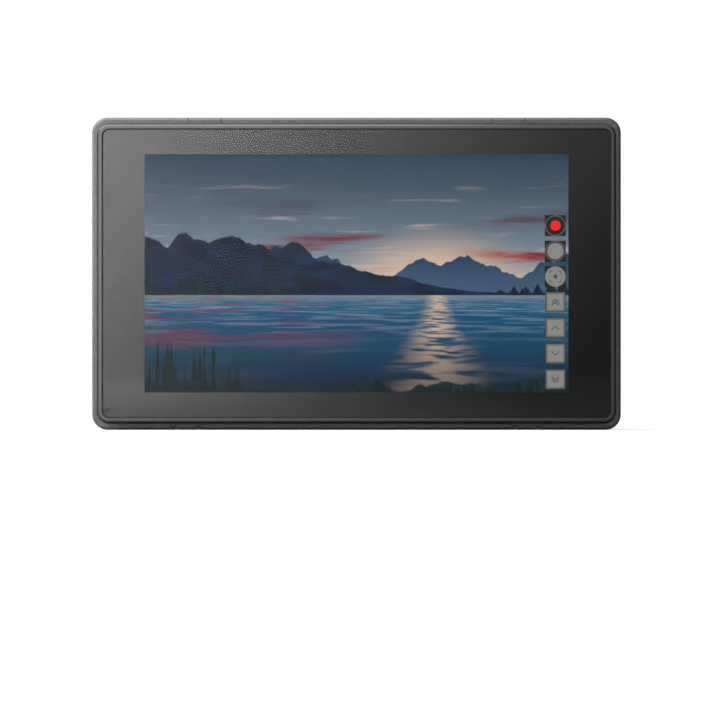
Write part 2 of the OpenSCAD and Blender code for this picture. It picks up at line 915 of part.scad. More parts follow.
module mount_plate_screws() {
    color("silver")
        for (side = [-1, 1]) {
            screw_up(side * mount_screw_x, 0, body_h - mid_wall - mount_t,
                body_h - mid_wall + screw_bite - tip_gap);
            translate([0, 0, mid_wall + mount_t])
                mirror([0, 0, 1])
                    screw_up(side * mount_screw_x, 0, 0, mount_t + screw_bite - tip_gap);
        }
}

// A board under the top wall, hung from the posts at the x of its screws
module hung_board(at) {
    color("darkgreen")
        difference() {
            box([at[0] - key_board_edge, key_board_front, key_board_top - board_t],
                [at[1] + key_board_edge, key_board_back, key_board_top]);
            for (x = at)
                translate([x, 0, key_board_top - board_t - past])
                    cylinder(r = screw_r + fit_gap, h = board_t + 2 * past);
        }
}

// Screws that hold a hung board
module hung_board_screws(at) {
    color("silver")
        for (x = at)
            screw_up(x, 0, key_board_top - board_t, key_board_top + screw_bite - tip_gap);
}

// A key switch on a hung board
module key_switch(x) {
    color("darkgray")
        translate([x, 0, key_board_top]) {
            translate([-switch_w / 2, -switch_w / 2, 0])
                cube([switch_w, switch_w, switch_t - switch_cap_h]);
            cylinder(r = switch_cap_r, h = switch_t);
        }
}

module button_board() {
    hung_board(key_post_x);
}

module button_board_screws() {
    hung_board_screws(key_post_x);
}

module tact_switches() {
    for (i = [0 : key_n - 1])
        key_switch(key_x + i * key_pitch);
}

module return_board() {
    hung_board(return_post_x);
}

module return_board_screws() {
    hung_board_screws(return_post_x);
}

module return_switch() {
    key_switch(return_x);
}

// A slanted key: cap, flange under the wall and stem above its switch
module key(i) {
    color([0.27, 0.27, 0.28])
        translate([key_x + i * key_pitch, 0, 0]) {
            translate([0, 0, key_flange_z])
                linear_extrude(key_flange_t)
                    key_shape(key_r + key_flange);
            translate([0, 0, key_flange_z + key_flange_t])
                linear_extrude(body_h + key_proud - key_flange_z - key_flange_t)
                    key_shape(key_r);
            translate([0, 0, key_flange_z - stem_l])
                cylinder(r = key_stem_r, h = stem_l);
        }
}

module button_1() {
    key(0);
}

module button_2() {
    key(1);
}

module button_3() {
    key(2);
}

module button_4() {
    key(3);
}

module button_5() {
    key(4);
}

module button_6() {
    key(5);
}

module return_button() {
    color([0.27, 0.27, 0.28])
        translate([return_x, 0, 0]) {
            translate([0, 0, key_flange_z])
                cylinder(r = return_r + key_flange, h = key_flange_t);
            translate([0, 0, key_flange_z + key_flange_t])
                cylinder(r = return_r, h = body_h + key_proud - key_flange_z - key_flange_t);
            translate([0, 0, key_flange_z - stem_l])
                cylinder(r = key_stem_r, h = stem_l);
        }
}

module main_board() {
    color("darkgreen")
        difference() {
            box([-board_w / 2, board_front, board_z], [board_w / 2, board_back, board_top]);
            for (at = concat(board_screws_at, spreader_legs))
                rod_y(at[0], at[1], screw_r + fit_gap, board_front - past, board_back + past);
        }
}

// Chips and coils on the main board: middle across and up, width, height and thickness of each
module board_chips() {
    chips = [[0, chip_row_z, chip_w, chip_w, chip_t],
             [-memory_x, chip_row_z, memory_w, memory_h, chip_t],
             [memory_x, chip_row_z, memory_w, memory_h, chip_t],
             [-receiver_x, chip_row_z - coil_w, receiver_w, receiver_w, chip_t],
             [coil_x, chip_row_z - coil_w, coil_w, coil_w, coil_t],
             [coil_x, low_row_z + coil_w, power_chip_w, power_chip_w, chip_t],
             [cap_x, low_row_z, small_w, small_w, cap_t],
             [-cap_x, low_row_z, small_w, small_w, small_t],
             [-receiver_x, low_row_z, small_w, small_w, small_t]];
    color([0.1, 0.1, 0.1])
        for (c = chips)
            box([c[0] - c[2] / 2, board_back, c[1] - c[3] / 2],
                [c[0] + c[2] / 2, board_back + c[4], c[1] + c[3] / 2]);
}

module board_screws() {
    color("silver")
        for (at = board_screws_at)
            screw_y(at[0], at[1], board_back, board_front - screw_bite + tip_gap);
}

module thermal_pad() {
    color("lightblue")
        box([-pad_w / 2, board_back + chip_t, chip_row_z - pad_h / 2],
            [pad_w / 2, board_back + chip_t + pad_t, chip_row_z + pad_h / 2]);
}

module heat_spreader() {
    color("silver")
        difference() {
            union() {
                box([-spreader_w / 2, leg_y, spreader_z - spreader_h / 2],
                    [spreader_w / 2, leg_y + spreader_t, spreader_z + spreader_h / 2]);
                for (at = spreader_legs)
                    rod_y(at[0], at[1], leg_r, board_back, leg_y + spreader_t);
            }
            for (at = spreader_legs)
                rod_y(at[0], at[1], screw_r + fit_gap, board_back - past, leg_y + spreader_t + past);
        }
}

module heat_spreader_screws() {
    color("silver")
        for (at = spreader_legs)
            screw_y(at[0], at[1], leg_y + spreader_t, board_front + tip_gap);
}

// An HDMI type A socket in the left wall, its mouth in the outer face
module hdmi_socket(z) {
    mouth = -body_w / 2 + socket_in;
    color("silver")
        difference() {
            box([mouth, socket_y - hdmi_h / 2 - shell_t, z - hdmi_w / 2 - shell_t],
                [mouth + hdmi_depth, socket_y + hdmi_h / 2 + shell_t, z + hdmi_w / 2 + shell_t]);
            box([mouth - past, socket_y - hdmi_h / 2, z - hdmi_w / 2],
                [mouth + hdmi_depth - socket_floor_t, socket_y + hdmi_h / 2, z + hdmi_w / 2]);
        }
    color("black")
        box([mouth + hdmi_tongue_in, socket_y - hdmi_tongue_t / 2, z - hdmi_tongue_w / 2],
            [mouth + hdmi_depth - socket_floor_t, socket_y + hdmi_tongue_t / 2, z + hdmi_tongue_w / 2]);
    color("silver")
        box([mouth + mid_wall + hdmi_skirt, board_back, z - hdmi_w / 2],
            [mouth + hdmi_depth, socket_y - hdmi_h / 2 - shell_t, z + hdmi_w / 2]);
}

module hdmi_in_socket() {
    hdmi_socket(hdmi_in_z);
}

module hdmi_out_socket() {
    hdmi_socket(hdmi_out_z);
}

module usb_c_socket() {
    mouth = body_w / 2 - socket_in;
    r = usb_h / 2 - 0.05;
    color("silver")
        translate([mouth, usb_y, usb_z])
            rotate([0, -90, 0])
                difference() {
                    linear_extrude(usb_depth)
                        round_rect(usb_w + 2 * shell_t, usb_h + 2 * shell_t, r + shell_t);
                    translate([0, 0, -past])
                        linear_extrude(usb_depth - socket_floor_t + past)
                            round_rect(usb_w, usb_h, r);
                }
    color("black")
        box([mouth - usb_depth + socket_floor_t, usb_y - usb_tongue_t / 2, usb_z - usb_tongue_w / 2],
            [mouth - usb_tongue_in, usb_y + usb_tongue_t / 2, usb_z + usb_tongue_w / 2]);
}

module headphone_socket() {
    mouth = body_w / 2 - socket_in;
    color([0.08, 0.08, 0.08])
        difference() {
            union() {
                box([mouth - phone_depth, board_back, phone_z - phone_body / 2],
                    [inner_w / 2 - side_gap, board_back + phone_body, phone_z + phone_body / 2]);
                rod_x(socket_y, phone_z, phone_nose_r, inner_w / 2 - side_gap - nose_bite, mouth);
            }
            rod_x(socket_y, phone_z, phone_r, mouth - phone_depth + socket_floor_t, mouth + past);
        }
}

module dc_socket() {
    mouth = body_w / 2 - socket_in;
    color([0.08, 0.08, 0.08])
        difference() {
            union() {
                box([mouth - dc_depth, board_back, dc_z - dc_body / 2],
                    [inner_w / 2 - side_gap, board_back + dc_body_t, dc_z + dc_body / 2]);
                rod_x(dc_y, dc_z, dc_nose_r, inner_w / 2 - side_gap - nose_bite, mouth);
            }
            difference() {
                rod_x(dc_y, dc_z, dc_r, mouth - dc_depth + socket_floor_t, mouth + past);
                rod_x(dc_y, dc_z, dc_pin_r, mouth - dc_depth, mouth - dc_pin_in);
            }
        }
}

module display_flex() {
    x = display_flex_w / 2;
    color("orange") {
        box([-x, lcd_front + flex_t, display_flex_z], [x, lcd_back - flex_t, mid_z - panel_h / 2]);
        box([-x, lcd_front + flex_t, display_flex_z], [x, board_back + flex_t, display_flex_z + flex_t]);
        box([-x, board_back, display_flex_z], [x, board_back + flex_t, board_z + flex_tab]);
    }
}

// A flat cable from the main board up to a hung board
module up_flex(x, w) {
    low = key_board_top - board_t;
    color("orange") {
        box([x - w / 2, board_back, key_flex_low], [x + w / 2, board_back + flex_t, low]);
        box([x - w / 2, board_back, low - flex_t], [x + w / 2, board_back + flex_tab, low]);
    }
}

module button_flex() {
    up_flex(key_flex_x, key_flex_w);
}

module return_flex() {
    up_flex(return_x, return_flex_w);
}

module power_flex() {
    x = power_flex_w / 2;
    color("orange") {
        box([-x, board_back, power_flex_z], [x, board_back + flex_t, power_flex_z + power_tab]);
        box([-x, board_back, power_flex_z], [x, cover_inner, power_flex_z + flex_t]);
        box([-x, cover_inner - flex_t, power_flex_z], [x, cover_inner, power_flex_z + power_tab]);
    }
}

module wheel_bracket() {
    color("lightgray")
        difference() {
            union() {
                box([wheel_x - bracket_w / 2, board_front, shelf_z],
                    [wheel_x + bracket_w / 2, wheel_back + cheek_gap + cheek_t, shelf_z + shelf_t]);
                box([wheel_x - bracket_w / 2, board_front, shelf_z - bracket_h],
                    [wheel_x + bracket_w / 2, board_front + bracket_t, shelf_z + shelf_t]);
                for (side = [-1, 1])
                    translate([wheel_x + side * guide_x, wheel_y, shelf_z])
                        cylinder(r = guide_r, h = web_z + web_t + guide_up - shelf_z);
            }
            for (side = [-1, 1])
                rod_y(wheel_x + side * bracket_screw_x, bracket_screw_z, screw_r + fit_gap,
                    board_front - past, board_front + bracket_t + past);
        }
}

module wheel_bracket_screws() {
    color("silver")
        for (side = [-1, 1])
            screw_y(wheel_x + side * bracket_screw_x, bracket_screw_z, board_front + bracket_t,
                board_front - screw_bite + tip_gap);
}

module wheel_switch() {
    half = wheel_switch_w / 2;
    color("darkgray")
        translate([wheel_x, wheel_y, shelf_z + shelf_t]) {
            box([-half, -half, 0], [half, half, wheel_switch_t - wheel_switch_cap_h]);
            cylinder(r = wheel_switch_cap_r, h = wheel_switch_t);
        }
}

// The sprung carrier: a web on two guide pins, with a cheek on either side of the wheel
module wheel_carrier() {
    front = wheel_front - cheek_gap - cheek_t;
    back = wheel_back + cheek_gap;
    color([0.85, 0.85, 0.85])
        difference() {
            union() {
                box([wheel_x - web_w / 2, front, web_z], [wheel_x + web_w / 2, back + cheek_t, web_z + web_t]);
                for (y = [front, back])
                    box([wheel_x - cheek_w / 2, y, web_z], [wheel_x + cheek_w / 2, y + cheek_t, wheel_z + cheek_up]);
            }
            rod_y(wheel_x, wheel_z, axle_r + run_gap, front - past, back + cheek_t + past);
            for (side = [-1, 1])
                translate([wheel_x + side * guide_x, wheel_y, web_z - past])
                    cylinder(r = guide_r + run_gap, h = web_t + 2 * past);
        }
}

module wheel_encoder() {
    back = wheel_front - cheek_gap - cheek_t;
    color([0.2, 0.2, 0.2])
        difference() {
            box([wheel_x - encoder_w / 2, back - encoder_t, wheel_z - encoder_w / 2],
                [wheel_x + encoder_w / 2, back, wheel_z + encoder_w / 2 - encoder_drop]);
            rod_y(wheel_x, wheel_z, axle_r + run_gap, back - encoder_t + encoder_skin, back + past);
        }
}

module wheel_axle() {
    front = wheel_front - cheek_gap - cheek_t;
    color("silver")
        rod_y(wheel_x, wheel_z, axle_r, front - encoder_t + encoder_skin + tip_gap,
            wheel_back + cheek_gap + cheek_t);
}

module menu_wheel() {
    color([0.08, 0.08, 0.08])
        difference() {
            union() {
                rod_y(wheel_x, wheel_z, wheel_r - wheel_edge, wheel_front, wheel_back);
                rod_y(wheel_x, wheel_z, wheel_r, wheel_front + wheel_edge, wheel_back - wheel_edge);
            }
            rod_y(wheel_x, wheel_z, axle_r + fit_gap, wheel_front - past, wheel_back + past);
            for (i = [0 : flute_n - 1])
                translate([wheel_x, 0, wheel_z])
                    rotate([0, i * 360 / flute_n, 0])
                        rod_y(0, wheel_r + flute_r * flute_out, flute_r, wheel_front - past, wheel_back + past);
        }
}

// A bank of vent slots in the rear cover, on one side of the battery plate
module vents(side) {
    pitch = vent_w + vent_gap;
    low = mid_z - vent_l / 2;
    for (i = [0 : vent_n - 1])
        translate([side * (body_w / 2 - vent_in - i * pitch), 0, 0]) {
            box([-vent_w / 2, cover_inner - past, low], [vent_w / 2, back_y + past, low + vent_l]);
            for (z = [low, low + vent_l])
                rod_y(0, z, vent_w / 2, cover_inner - past, back_y + past);
        }
}

// The hole that the battery catch comes through
module catch_hole(from, to) {
    half = catch_w / 2 + move_gap;
    box([catch_x - half, from, release_z - half], [catch_x + half, to, release_z + half]);
}

module rear_cover() {
    lip_w = inner_w - 2 * lip_gap;
    lip_h = inner_h - 2 * lip_gap;
    lip_r = max(inner_r - lip_gap, 0.5);
    rim_d = rear_d - rear_bevel;
    color([0.36, 0.36, 0.37])
        difference() {
            union() {
                difference() {
                    union() {
                        backwards(mid_back)
                            lean_block(body_w, body_h, corner_r,
                                [[0, 0], [rim_slope, rim_d], [rim_slope + rear_bevel, rear_d]]);
                        plate(lip_w, lip_h, lip_r, post_end, mid_back + rim_d / 2);
                    }
                    plate(lip_w - 2 * lip_t, lip_h - 2 * lip_t, max(lip_r - lip_t, 0.4), post_end - past,
                        cover_inner);
                }
                for (at = posts)
                    rod_y(at[0], at[1], post_r, post_end, cover_inner + post_root);
                rod_y(leaf_post_x, release_z, leaf_post_r, leaf_y, cover_inner + post_root);
            }
            for (at = posts) {
                rod_y(at[0], at[1], screw_r + fit_gap, post_end - past, back_y + past);
                rod_y(at[0], at[1], rear_head_r + head_gap, back_y - rear_head_t - rear_head_in, back_y + past);
            }
            for (at = bat_screws_at)
                rod_y(at[0], at[1], screw_r + fit_gap, cover_inner + bat_skin, back_y + past);
            for (side = [-1, 1])
                vents(side);
            rod_y(release_x, release_z, release_r + release_gap, cover_inner - past, back_y + past);
            catch_hole(cover_inner - past, back_y + past);
        }
}

module rear_screws() {
    color("silver")
        for (at = posts)
            screw_y(at[0], at[1], back_y - rear_head_t - rear_head_in, post_end - post_bite + tip_gap,
                rear_head_r, rear_head_t);
}

module battery_plate() {
    low = bat_z - bat_h / 2;
    color([0.12, 0.12, 0.12])
        difference() {
            union() {
                plate_at(bat_w, bat_h, bat_r, back_y, bat_base);
                for (side = [-1, 1]) {
                    box([side * (bat_w / 2 - rail_w / 2) - rail_w / 2, back_y, low + bat_r],
                        [side * (bat_w / 2 - rail_w / 2) + rail_w / 2, bat_back, low + bat_h - bat_r]);
                    for (z = [low + hook_in, bat_z + hook_up])
                        box([side * (bat_w / 2 - rail_w - hook_w / 2) - hook_w / 2, bat_back - hook_t, z],
                            [side * (bat_w / 2 - rail_w - hook_w / 2) + hook_w / 2, bat_back, z + hook_l]);
                }
                box([-contact_w / 2, back_y, contact_low], [contact_w / 2, bat_back, contact_low + contact_h]);
            }
            for (at = bat_screws_at) {
                rod_y(at[0], at[1], screw_r + fit_gap, back_y - past, bat_base + past);
                rod_y(at[0], at[1], screw_head_r + head_gap, bat_base - bat_head_t, bat_base + past);
            }
            catch_hole(back_y - past, bat_base + past);
        }
}

// A plate with round corners between two depths, round the middle of the battery plate
module plate_at(w, h, r, from, to) {
    translate([0, 0, bat_z - mid_z])
        plate(w, h, r, from, to);
}

module battery_plate_screws() {
    color("silver")
        for (at = bat_screws_at)
            screw_y(at[0], at[1], bat_base - bat_head_t, cover_inner + bat_skin + tip_gap, screw_head_r, bat_head_t);
}

module battery_contacts() {
    color("gold")
        for (i = [-1 : 1])
            box([i * blade_pitch - blade_w / 2, blade_y - blade_t / 2, contact_low + contact_h],
                [i * blade_pitch + blade_w / 2, blade_y + blade_t / 2, contact_low + contact_h + blade_l]);
}

// The release: a button beside the plate, an arm inside the cover and the catch that holds a battery
module battery_release() {
    low = release_seat - release_flange_t;
    color([0.1, 0.1, 0.1]) {
        rod_y(release_x, release_z, release_r, low, back_y + release_proud);
        rod_y(release_x, release_z, release_r + release_flange, low, release_seat);
        box([catch_x - catch_w / 2, low, release_z - release_arm_w / 2],
            [release_x, release_seat, release_z + release_arm_w / 2]);
        box([catch_x - catch_w / 2, low, release_z - catch_w / 2],
            [catch_x + catch_w / 2, bat_base + catch_up, release_z + catch_w / 2]);
    }
}

module latch_spring() {
    color("silver")
        box([catch_x + leaf_in, leaf_y - leaf_t, release_z - leaf_w / 2],
            [leaf_post_x + leaf_post_r, leaf_y, release_z + leaf_w / 2]);
}

front_bezel();
cover_glass();
border_mask();
glass_tape();
bond_sheet();
lcd_panel();
backlight_tray();
panel_foam();
bezel_screws();
mid_housing();
top_thread_insert();
bottom_thread_insert();
top_mount_plate();
bottom_mount_plate();
mount_plate_screws();
button_board();
tact_switches();
button_board_screws();
return_board();
return_switch();
return_board_screws();
main_board();
board_chips();
board_screws();
thermal_pad();
heat_spreader();
heat_spreader_screws();
hdmi_in_socket();
hdmi_out_socket();
usb_c_socket();
headphone_socket();
dc_socket();
display_flex();
button_flex();
return_flex();
power_flex();
wheel_bracket();
wheel_bracket_screws();
wheel_switch();
wheel_carrier();
wheel_encoder();
wheel_axle();
menu_wheel();
rear_cover();
rear_screws();
battery_plate();
battery_plate_screws();
battery_contacts();
battery_release();
latch_spring();
button_1();
button_2();
button_3();
button_4();
button_5();
button_6();
return_button();
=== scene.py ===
"""Looks of a camera field monitor: finishes, lit picture, printed signs, threads and contacts."""

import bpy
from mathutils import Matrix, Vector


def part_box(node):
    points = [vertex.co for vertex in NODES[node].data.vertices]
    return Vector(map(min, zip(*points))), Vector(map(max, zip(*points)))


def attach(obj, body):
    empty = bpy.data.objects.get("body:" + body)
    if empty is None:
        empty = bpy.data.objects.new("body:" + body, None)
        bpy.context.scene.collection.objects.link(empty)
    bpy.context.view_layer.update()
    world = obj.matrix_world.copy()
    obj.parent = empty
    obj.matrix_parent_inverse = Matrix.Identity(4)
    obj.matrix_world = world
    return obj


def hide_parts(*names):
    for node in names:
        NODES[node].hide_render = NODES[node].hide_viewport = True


bl_info = {
    "name": "Field monitor looks",
    "version": (1, 0, 0),
    "blender": (4, 5, 0),
    "location": "3D View > Sidebar > Monitor",
    "description": "Finishes, picture, signs, threads and studio for a camera field monitor",
    "category": "Object",
}

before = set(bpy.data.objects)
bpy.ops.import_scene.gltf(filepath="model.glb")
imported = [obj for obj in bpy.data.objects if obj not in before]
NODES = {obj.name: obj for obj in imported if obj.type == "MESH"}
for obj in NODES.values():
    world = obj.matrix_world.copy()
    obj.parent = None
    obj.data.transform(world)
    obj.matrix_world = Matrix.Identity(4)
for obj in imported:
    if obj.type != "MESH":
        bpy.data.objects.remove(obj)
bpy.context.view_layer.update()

import math

import bmesh
import bpy
from bpy.props import FloatProperty, FloatVectorProperty, IntProperty, PointerProperty
from mathutils import Matrix, Vector

MM = 0.001
KEYS = tuple(f"button_{n}" for n in range(1, 7))


def linear(hex_code):
    """The linear colour of an sRGB hex code."""
    parts = [int(hex_code[i:i + 2], 16) / 255 for i in (1, 3, 5)]
    return tuple(c / 12.92 if c <= 0.04045 else ((c + 0.055) / 1.055) ** 2.4 for c in parts)


def colour_property(name, description, hex_code):
    """A colour that shows as a swatch in the sidebar."""
    return FloatVectorProperty(name=name, description=description, default=linear(hex_code),
                               subtype="COLOR", size=3, min=0, max=1)


def length_property(name, description, default, low, high):
    """A length in metres, between two limits."""
    return FloatProperty(name=name, description=description, default=default, min=low, max=high,
                         subtype="DISTANCE", unit="LENGTH")


# Sizes and colours that a user may change

class MonitorFinish(bpy.types.PropertyGroup):
    """Colours and grain of the monitor's own finishes."""
    housing_colour: colour_property("Housing", "Spark-textured frame of the housing", "#3e3e40")
    bezel_colour: colour_property("Bezel", "Satin rim round the glass", "#2a2a2c")
    # The rear cover's lighter tone is painted light, for the light that its sloped rim catches from above
    cover_colour: colour_property("Rear cover", "Fine satin cover", "#4c4c4f")
    key_colour: colour_property("Keys", "Slanted keys and return key", "#3a3a3c")
    wheel_colour: colour_property("Wheel", "Ribbed menu wheel", "#161617")
    ink_colour: colour_property("Glass border", "Ink printed behind the glass", "#050506")
    print_colour: colour_property("Signs", "Ink of the signs on the housing", "#e9e9e6")
    brass_colour: colour_property("Brass", "Thread inserts", "#dcc185")
    grain: length_property("Grain", "Width of one grain of the spark texture", 0.00055, 0.0001, 0.002)
    grain_depth: length_property("Grain depth", "Height of the spark texture", 0.00006, 0, 0.0002)


class MonitorSigns(bpy.types.PropertyGroup):
    """Sizes of the touch signs and of the printed signs."""
    tile: length_property("Touch tile", "Side of a touch tile", 0.00584, 0.004, 0.008)
    tile_x: length_property("Touch column", "Signs right of the picture's middle", 0.05715, 0.03, 0.058)
    ink_t: length_property("Ink thickness", "Thickness of a printed sign", 0.00002, 0.00001, 0.0001)
    disc_r: length_property("Key disc", "Radius of the white disc on a key", 0.00148, 0.0008, 0.0018)
    number_size: length_property("Number size", "Size of the numbers on the keys", 0.0026, 0.001, 0.003)


class MonitorThread(bpy.types.PropertyGroup):
    """Sizes of the tripod threads, a quarter inch with twenty threads."""
    major_r: length_property("Major radius", "Radius at the thread's root", 0.003175, 0.003, 0.0033)
    minor_r: length_property("Minor radius", "Radius at the thread's crest", 0.0026, 0.0025, 0.0028)
    pitch: length_property("Pitch", "Height of one turn", 0.00127, 0.001, 0.0015)
    turns: IntProperty(name="Turns", description="Turns of thread", default=4, min=2, max=4)
    outer_r: length_property("Outer radius", "Outside of the brass insert", 0.00368, 0.0035, 0.004)


class MonitorStudio(bpy.types.PropertyGroup):
    """Camera distance and light levels."""
    distance: length_property("Camera distance", "From the glass to the camera", 0.952, 0.3, 3)
    lens: FloatProperty(name="Lens", description="Focal length on a 36 mm sensor, in millimetres",
                        default=165.9, min=30, max=400)
    key_power: FloatProperty(name="Key light", description="Power of the softbox at the left",
                             default=1.5, min=0, max=10, subtype="POWER", unit="POWER")
    top_power: FloatProperty(name="Top light", description="Power of the softbox above",
                             default=4.0, min=0, max=10, subtype="POWER", unit="POWER")
    room_level: FloatProperty(name="Room level", description="Strength of the room's even light",
                              default=0.06, min=0, max=2)
    card_level: FloatProperty(name="Card level", description="Strength of the card that the glass mirrors",
                              default=6.5, min=0, max=10)


# Nodes and materials

# Settings that many nodes share
TIMES = {"operation": "MULTIPLY"}
SMOOTH = {"interpolation_type": "SMOOTHSTEP"}
MIX = {"data_type": "RGBA", "out": 2}


def add(tree, kind, links=(), out=0, stops=(), **settings):
    """Adds a shader node, sets it, gives its inputs these values or outputs, and returns one output."""
    made = tree.nodes.new("ShaderNode" + kind)
    for name, value in settings.items():
        setattr(made, name, value)
    pairs = links.items() if isinstance(links, dict) else enumerate(links)
    for key, value in pairs:
        if isinstance(value, bpy.types.NodeSocket):
            tree.links.new(value, made.inputs[key])
        elif isinstance(value, tuple) and made.inputs[key].type == "RGBA":
            made.inputs[key].default_value = (*value, 1)[:4]
        else:
            made.inputs[key].default_value = value
    for at, (place, colour) in enumerate(stops):
        ramp = made.color_ramp.elements
        stop = ramp[at] if at < 2 else ramp.new(place)
        stop.position = place
        stop.color = (*(linear(colour) if isinstance(colour, str) else (colour,) * 3), 1)
    return made.outputs[out] if len(made.outputs) else made


def new_material(name):
    """An empty material, its node tree, and where a point is on the object, in metres."""
    material = bpy.data.materials.new(name)
    material.use_nodes = True
    tree = material.node_tree
    tree.nodes.clear()
    return material, tree, add(tree, "TexCoord", out="Object")


def toned(tree, colour, pattern, low, high, start=0.3, end=0.7):
    """A colour that a pattern makes darker and lighter, between two shares of its own tone."""
    share = add(tree, "MapRange", (pattern, start, end, low, high))
    return add(tree, "VectorMath", {0: tuple(colour), "Scale": share}, operation="SCALE")


def rays(tree, *kinds):
    """1 for the rays of these kinds and 0 for all others."""
    found = 0.0
    for kind in kinds:
        found = add(tree, "Math", (found, add(tree, "LightPath", out=f"Is {kind} Ray")), operation="MAXIMUM")
    return found


def lit_card(name, shown, level):
    """Lights a card's material: white where a ray of the shown kinds meets it, else at its own level."""
    material, tree, place = new_material(name)
    strength = add(tree, "Mix", {"Factor": rays(tree, *shown), "A": level(tree, place), "B": 1.0})
    glow = add(tree, "Emission", {"Color": (1, 1, 1), "Strength": strength})
    add(tree, "OutputMaterial", {"Surface": glow})
    return material


def moulded_plastic(name, colour, grain, depth, rough, spread=0.06, gloss=0.5):
    """Injection moulded plastic: an even tone with a fine random grain that breaks the highlights up."""
    material, tree, place = new_material(name)
    fine = add(tree, "TexNoise", {"Vector": place, "Scale": 1 / grain, "Detail": 3.0, "Roughness": 0.6})
    broad = add(tree, "TexNoise", {"Vector": place, "Scale": 60.0, "Detail": 2.0})
    shade = add(tree, "MapRange", (fine, 0.3, 0.7, 1 - spread, 1 + spread))
    wide = add(tree, "MapRange", (broad, 0.3, 0.7, 0.98, 1.02))
    both = add(tree, "Math", (shade, wide), **TIMES)
    base = add(tree, "VectorMath", {0: tuple(colour), "Scale": both}, operation="SCALE")
    dull = add(tree, "MapRange", (fine, 0.3, 0.7, rough - 0.05, rough + 0.05))
    bump = add(tree, "Bump", {"Strength": 1.0, "Distance": depth, "Height": fine})
    plastic = add(tree, "BsdfPrincipled", {"Base Color": base, "Roughness": dull, "IOR": 1.5,
                                           "Specular IOR Level": gloss, "Normal": bump})
    add(tree, "OutputMaterial", {"Surface": plastic})
    return material


def metal(name, colour, rough, scratch, stretch, depth):
    """Bare metal: a tone broken by fine marks that run one way, seen mostly in its highlights."""
    material, tree, place = new_material(name)
    marks = add(tree, "Mapping", {"Vector": place, "Scale": Vector(stretch)})
    lines = add(tree, "TexNoise", {"Vector": marks, "Scale": 1 / scratch, "Detail": 4.0, "Roughness": 0.65})
    base = toned(tree, colour, lines, 0.88, 1.06)
    dull = add(tree, "MapRange", (lines, 0.3, 0.7, rough - 0.06, rough + 0.08))
    bump = add(tree, "Bump", {"Strength": 0.6, "Distance": depth, "Height": lines})
    bare = add(tree, "BsdfPrincipled", {"Base Color": base, "Metallic": 1.0, "Roughness": dull,
                                        "Normal": bump})
    add(tree, "OutputMaterial", {"Surface": bare})
    return material


def turned_brass(colour):
    """Brass turned on a lathe: fine rings round its axis that show in the highlight."""
    material, tree, place = new_material("turned_brass")
    flat = add(tree, "Mapping", {"Vector": place, "Scale": Vector((1, 1, 0))})
    radius = add(tree, "VectorMath", (flat,), out="Value", operation="LENGTH")
    turns = add(tree, "Math", (radius, 2 * math.pi / (0.09 * MM)), **TIMES)
    rings = add(tree, "Math", (turns,), operation="SINE")
    stain = add(tree, "TexNoise", {"Vector": place, "Scale": 900.0, "Detail": 3.0})
    base = toned(tree, colour, stain, 0.93, 1.03)
    bump = add(tree, "Bump", {"Strength": 0.35, "Distance": 0.006 * MM, "Height": rings})
    dull = add(tree, "MapRange", (stain, 0.0, 1.0, 0.3, 0.42))
    brass = add(tree, "BsdfPrincipled", {"Base Color": base, "Metallic": 1.0, "Roughness": dull,
                                         "Normal": bump})
    add(tree, "OutputMaterial", {"Surface": brass})
    return material


def printed_ink(name, colour):
    """Pad-printed ink: opaque and a little uneven at its thin places."""
    material, tree, place = new_material(name)
    cloud = add(tree, "TexNoise", {"Vector": place, "Scale": 2500.0, "Detail": 2.0})
    base = toned(tree, colour, cloud, 0.93, 1.0)
    ink = add(tree, "BsdfPrincipled", {"Base Color": base, "Roughness": 0.45, "IOR": 1.5})
    add(tree, "OutputMaterial", {"Surface": ink})
    return material


def lit_sign(name, hex_code):
    """A flat shape shown by the display: it glows evenly and mirrors next to nothing."""
    material, tree, place = new_material(name)
    rows = add(tree, "TexWave", {"Vector": place, "Scale": 1 / (0.4 * MM) / 10, "Distortion": 0.0},
               bands_direction="Z")
    glow = toned(tree, linear(hex_code), rows, 0.985, 1.0, 0.0, 1.0)
    sign = add(tree, "BsdfPrincipled", {"Base Color": (0, 0, 0), "Roughness": 0.5, "Specular IOR Level": 0.1,
                                        "Emission Color": glow, "Emission Strength": 1.0})
    add(tree, "OutputMaterial", {"Surface": sign})
    return material


def black_glass_ink(colour):
    """Ink behind polished glass: near black, with the clear mirror of the glass in front of it."""
    material, tree, place = new_material("screen_printed_glass_ink")
    smear = add(tree, "TexNoise", {"Vector": place, "Scale": 45.0, "Detail": 4.0, "Roughness": 0.7})
    dull = add(tree, "MapRange", (smear, 0.35, 0.75, 0.03, 0.036))
    specks = add(tree, "TexNoise", {"Vector": place, "Scale": 5000.0, "Detail": 1.0})
    base = toned(tree, colour, specks, 0.8, 1.2, 0.0, 1.0)
    ink = add(tree, "BsdfPrincipled", {"Base Color": base, "Roughness": dull, "IOR": 1.52})
    add(tree, "OutputMaterial", {"Surface": ink})
    return material


def clear_sheet(name, hex_code, solid, rough, gloss=0.5):
    """A clear sheet that can hardly be seen from the front: solid is its share of cover."""
    material, tree, place = new_material(name)
    smear = add(tree, "TexNoise", {"Vector": place, "Scale": 35.0, "Detail": 5.0, "Roughness": 0.7})
    dull = add(tree, "MapRange", (smear, 0.35, 0.75, rough, rough + 0.03))
    thin = add(tree, "MapRange", (smear, 0.3, 0.7, solid * 0.9, solid * 1.1))
    sheet = add(tree, "BsdfPrincipled", {"Base Color": linear(hex_code), "Roughness": dull, "IOR": 1.5,
                                         "Specular IOR Level": gloss, "Alpha": thin})
    add(tree, "OutputMaterial", {"Surface": sheet})
    return material


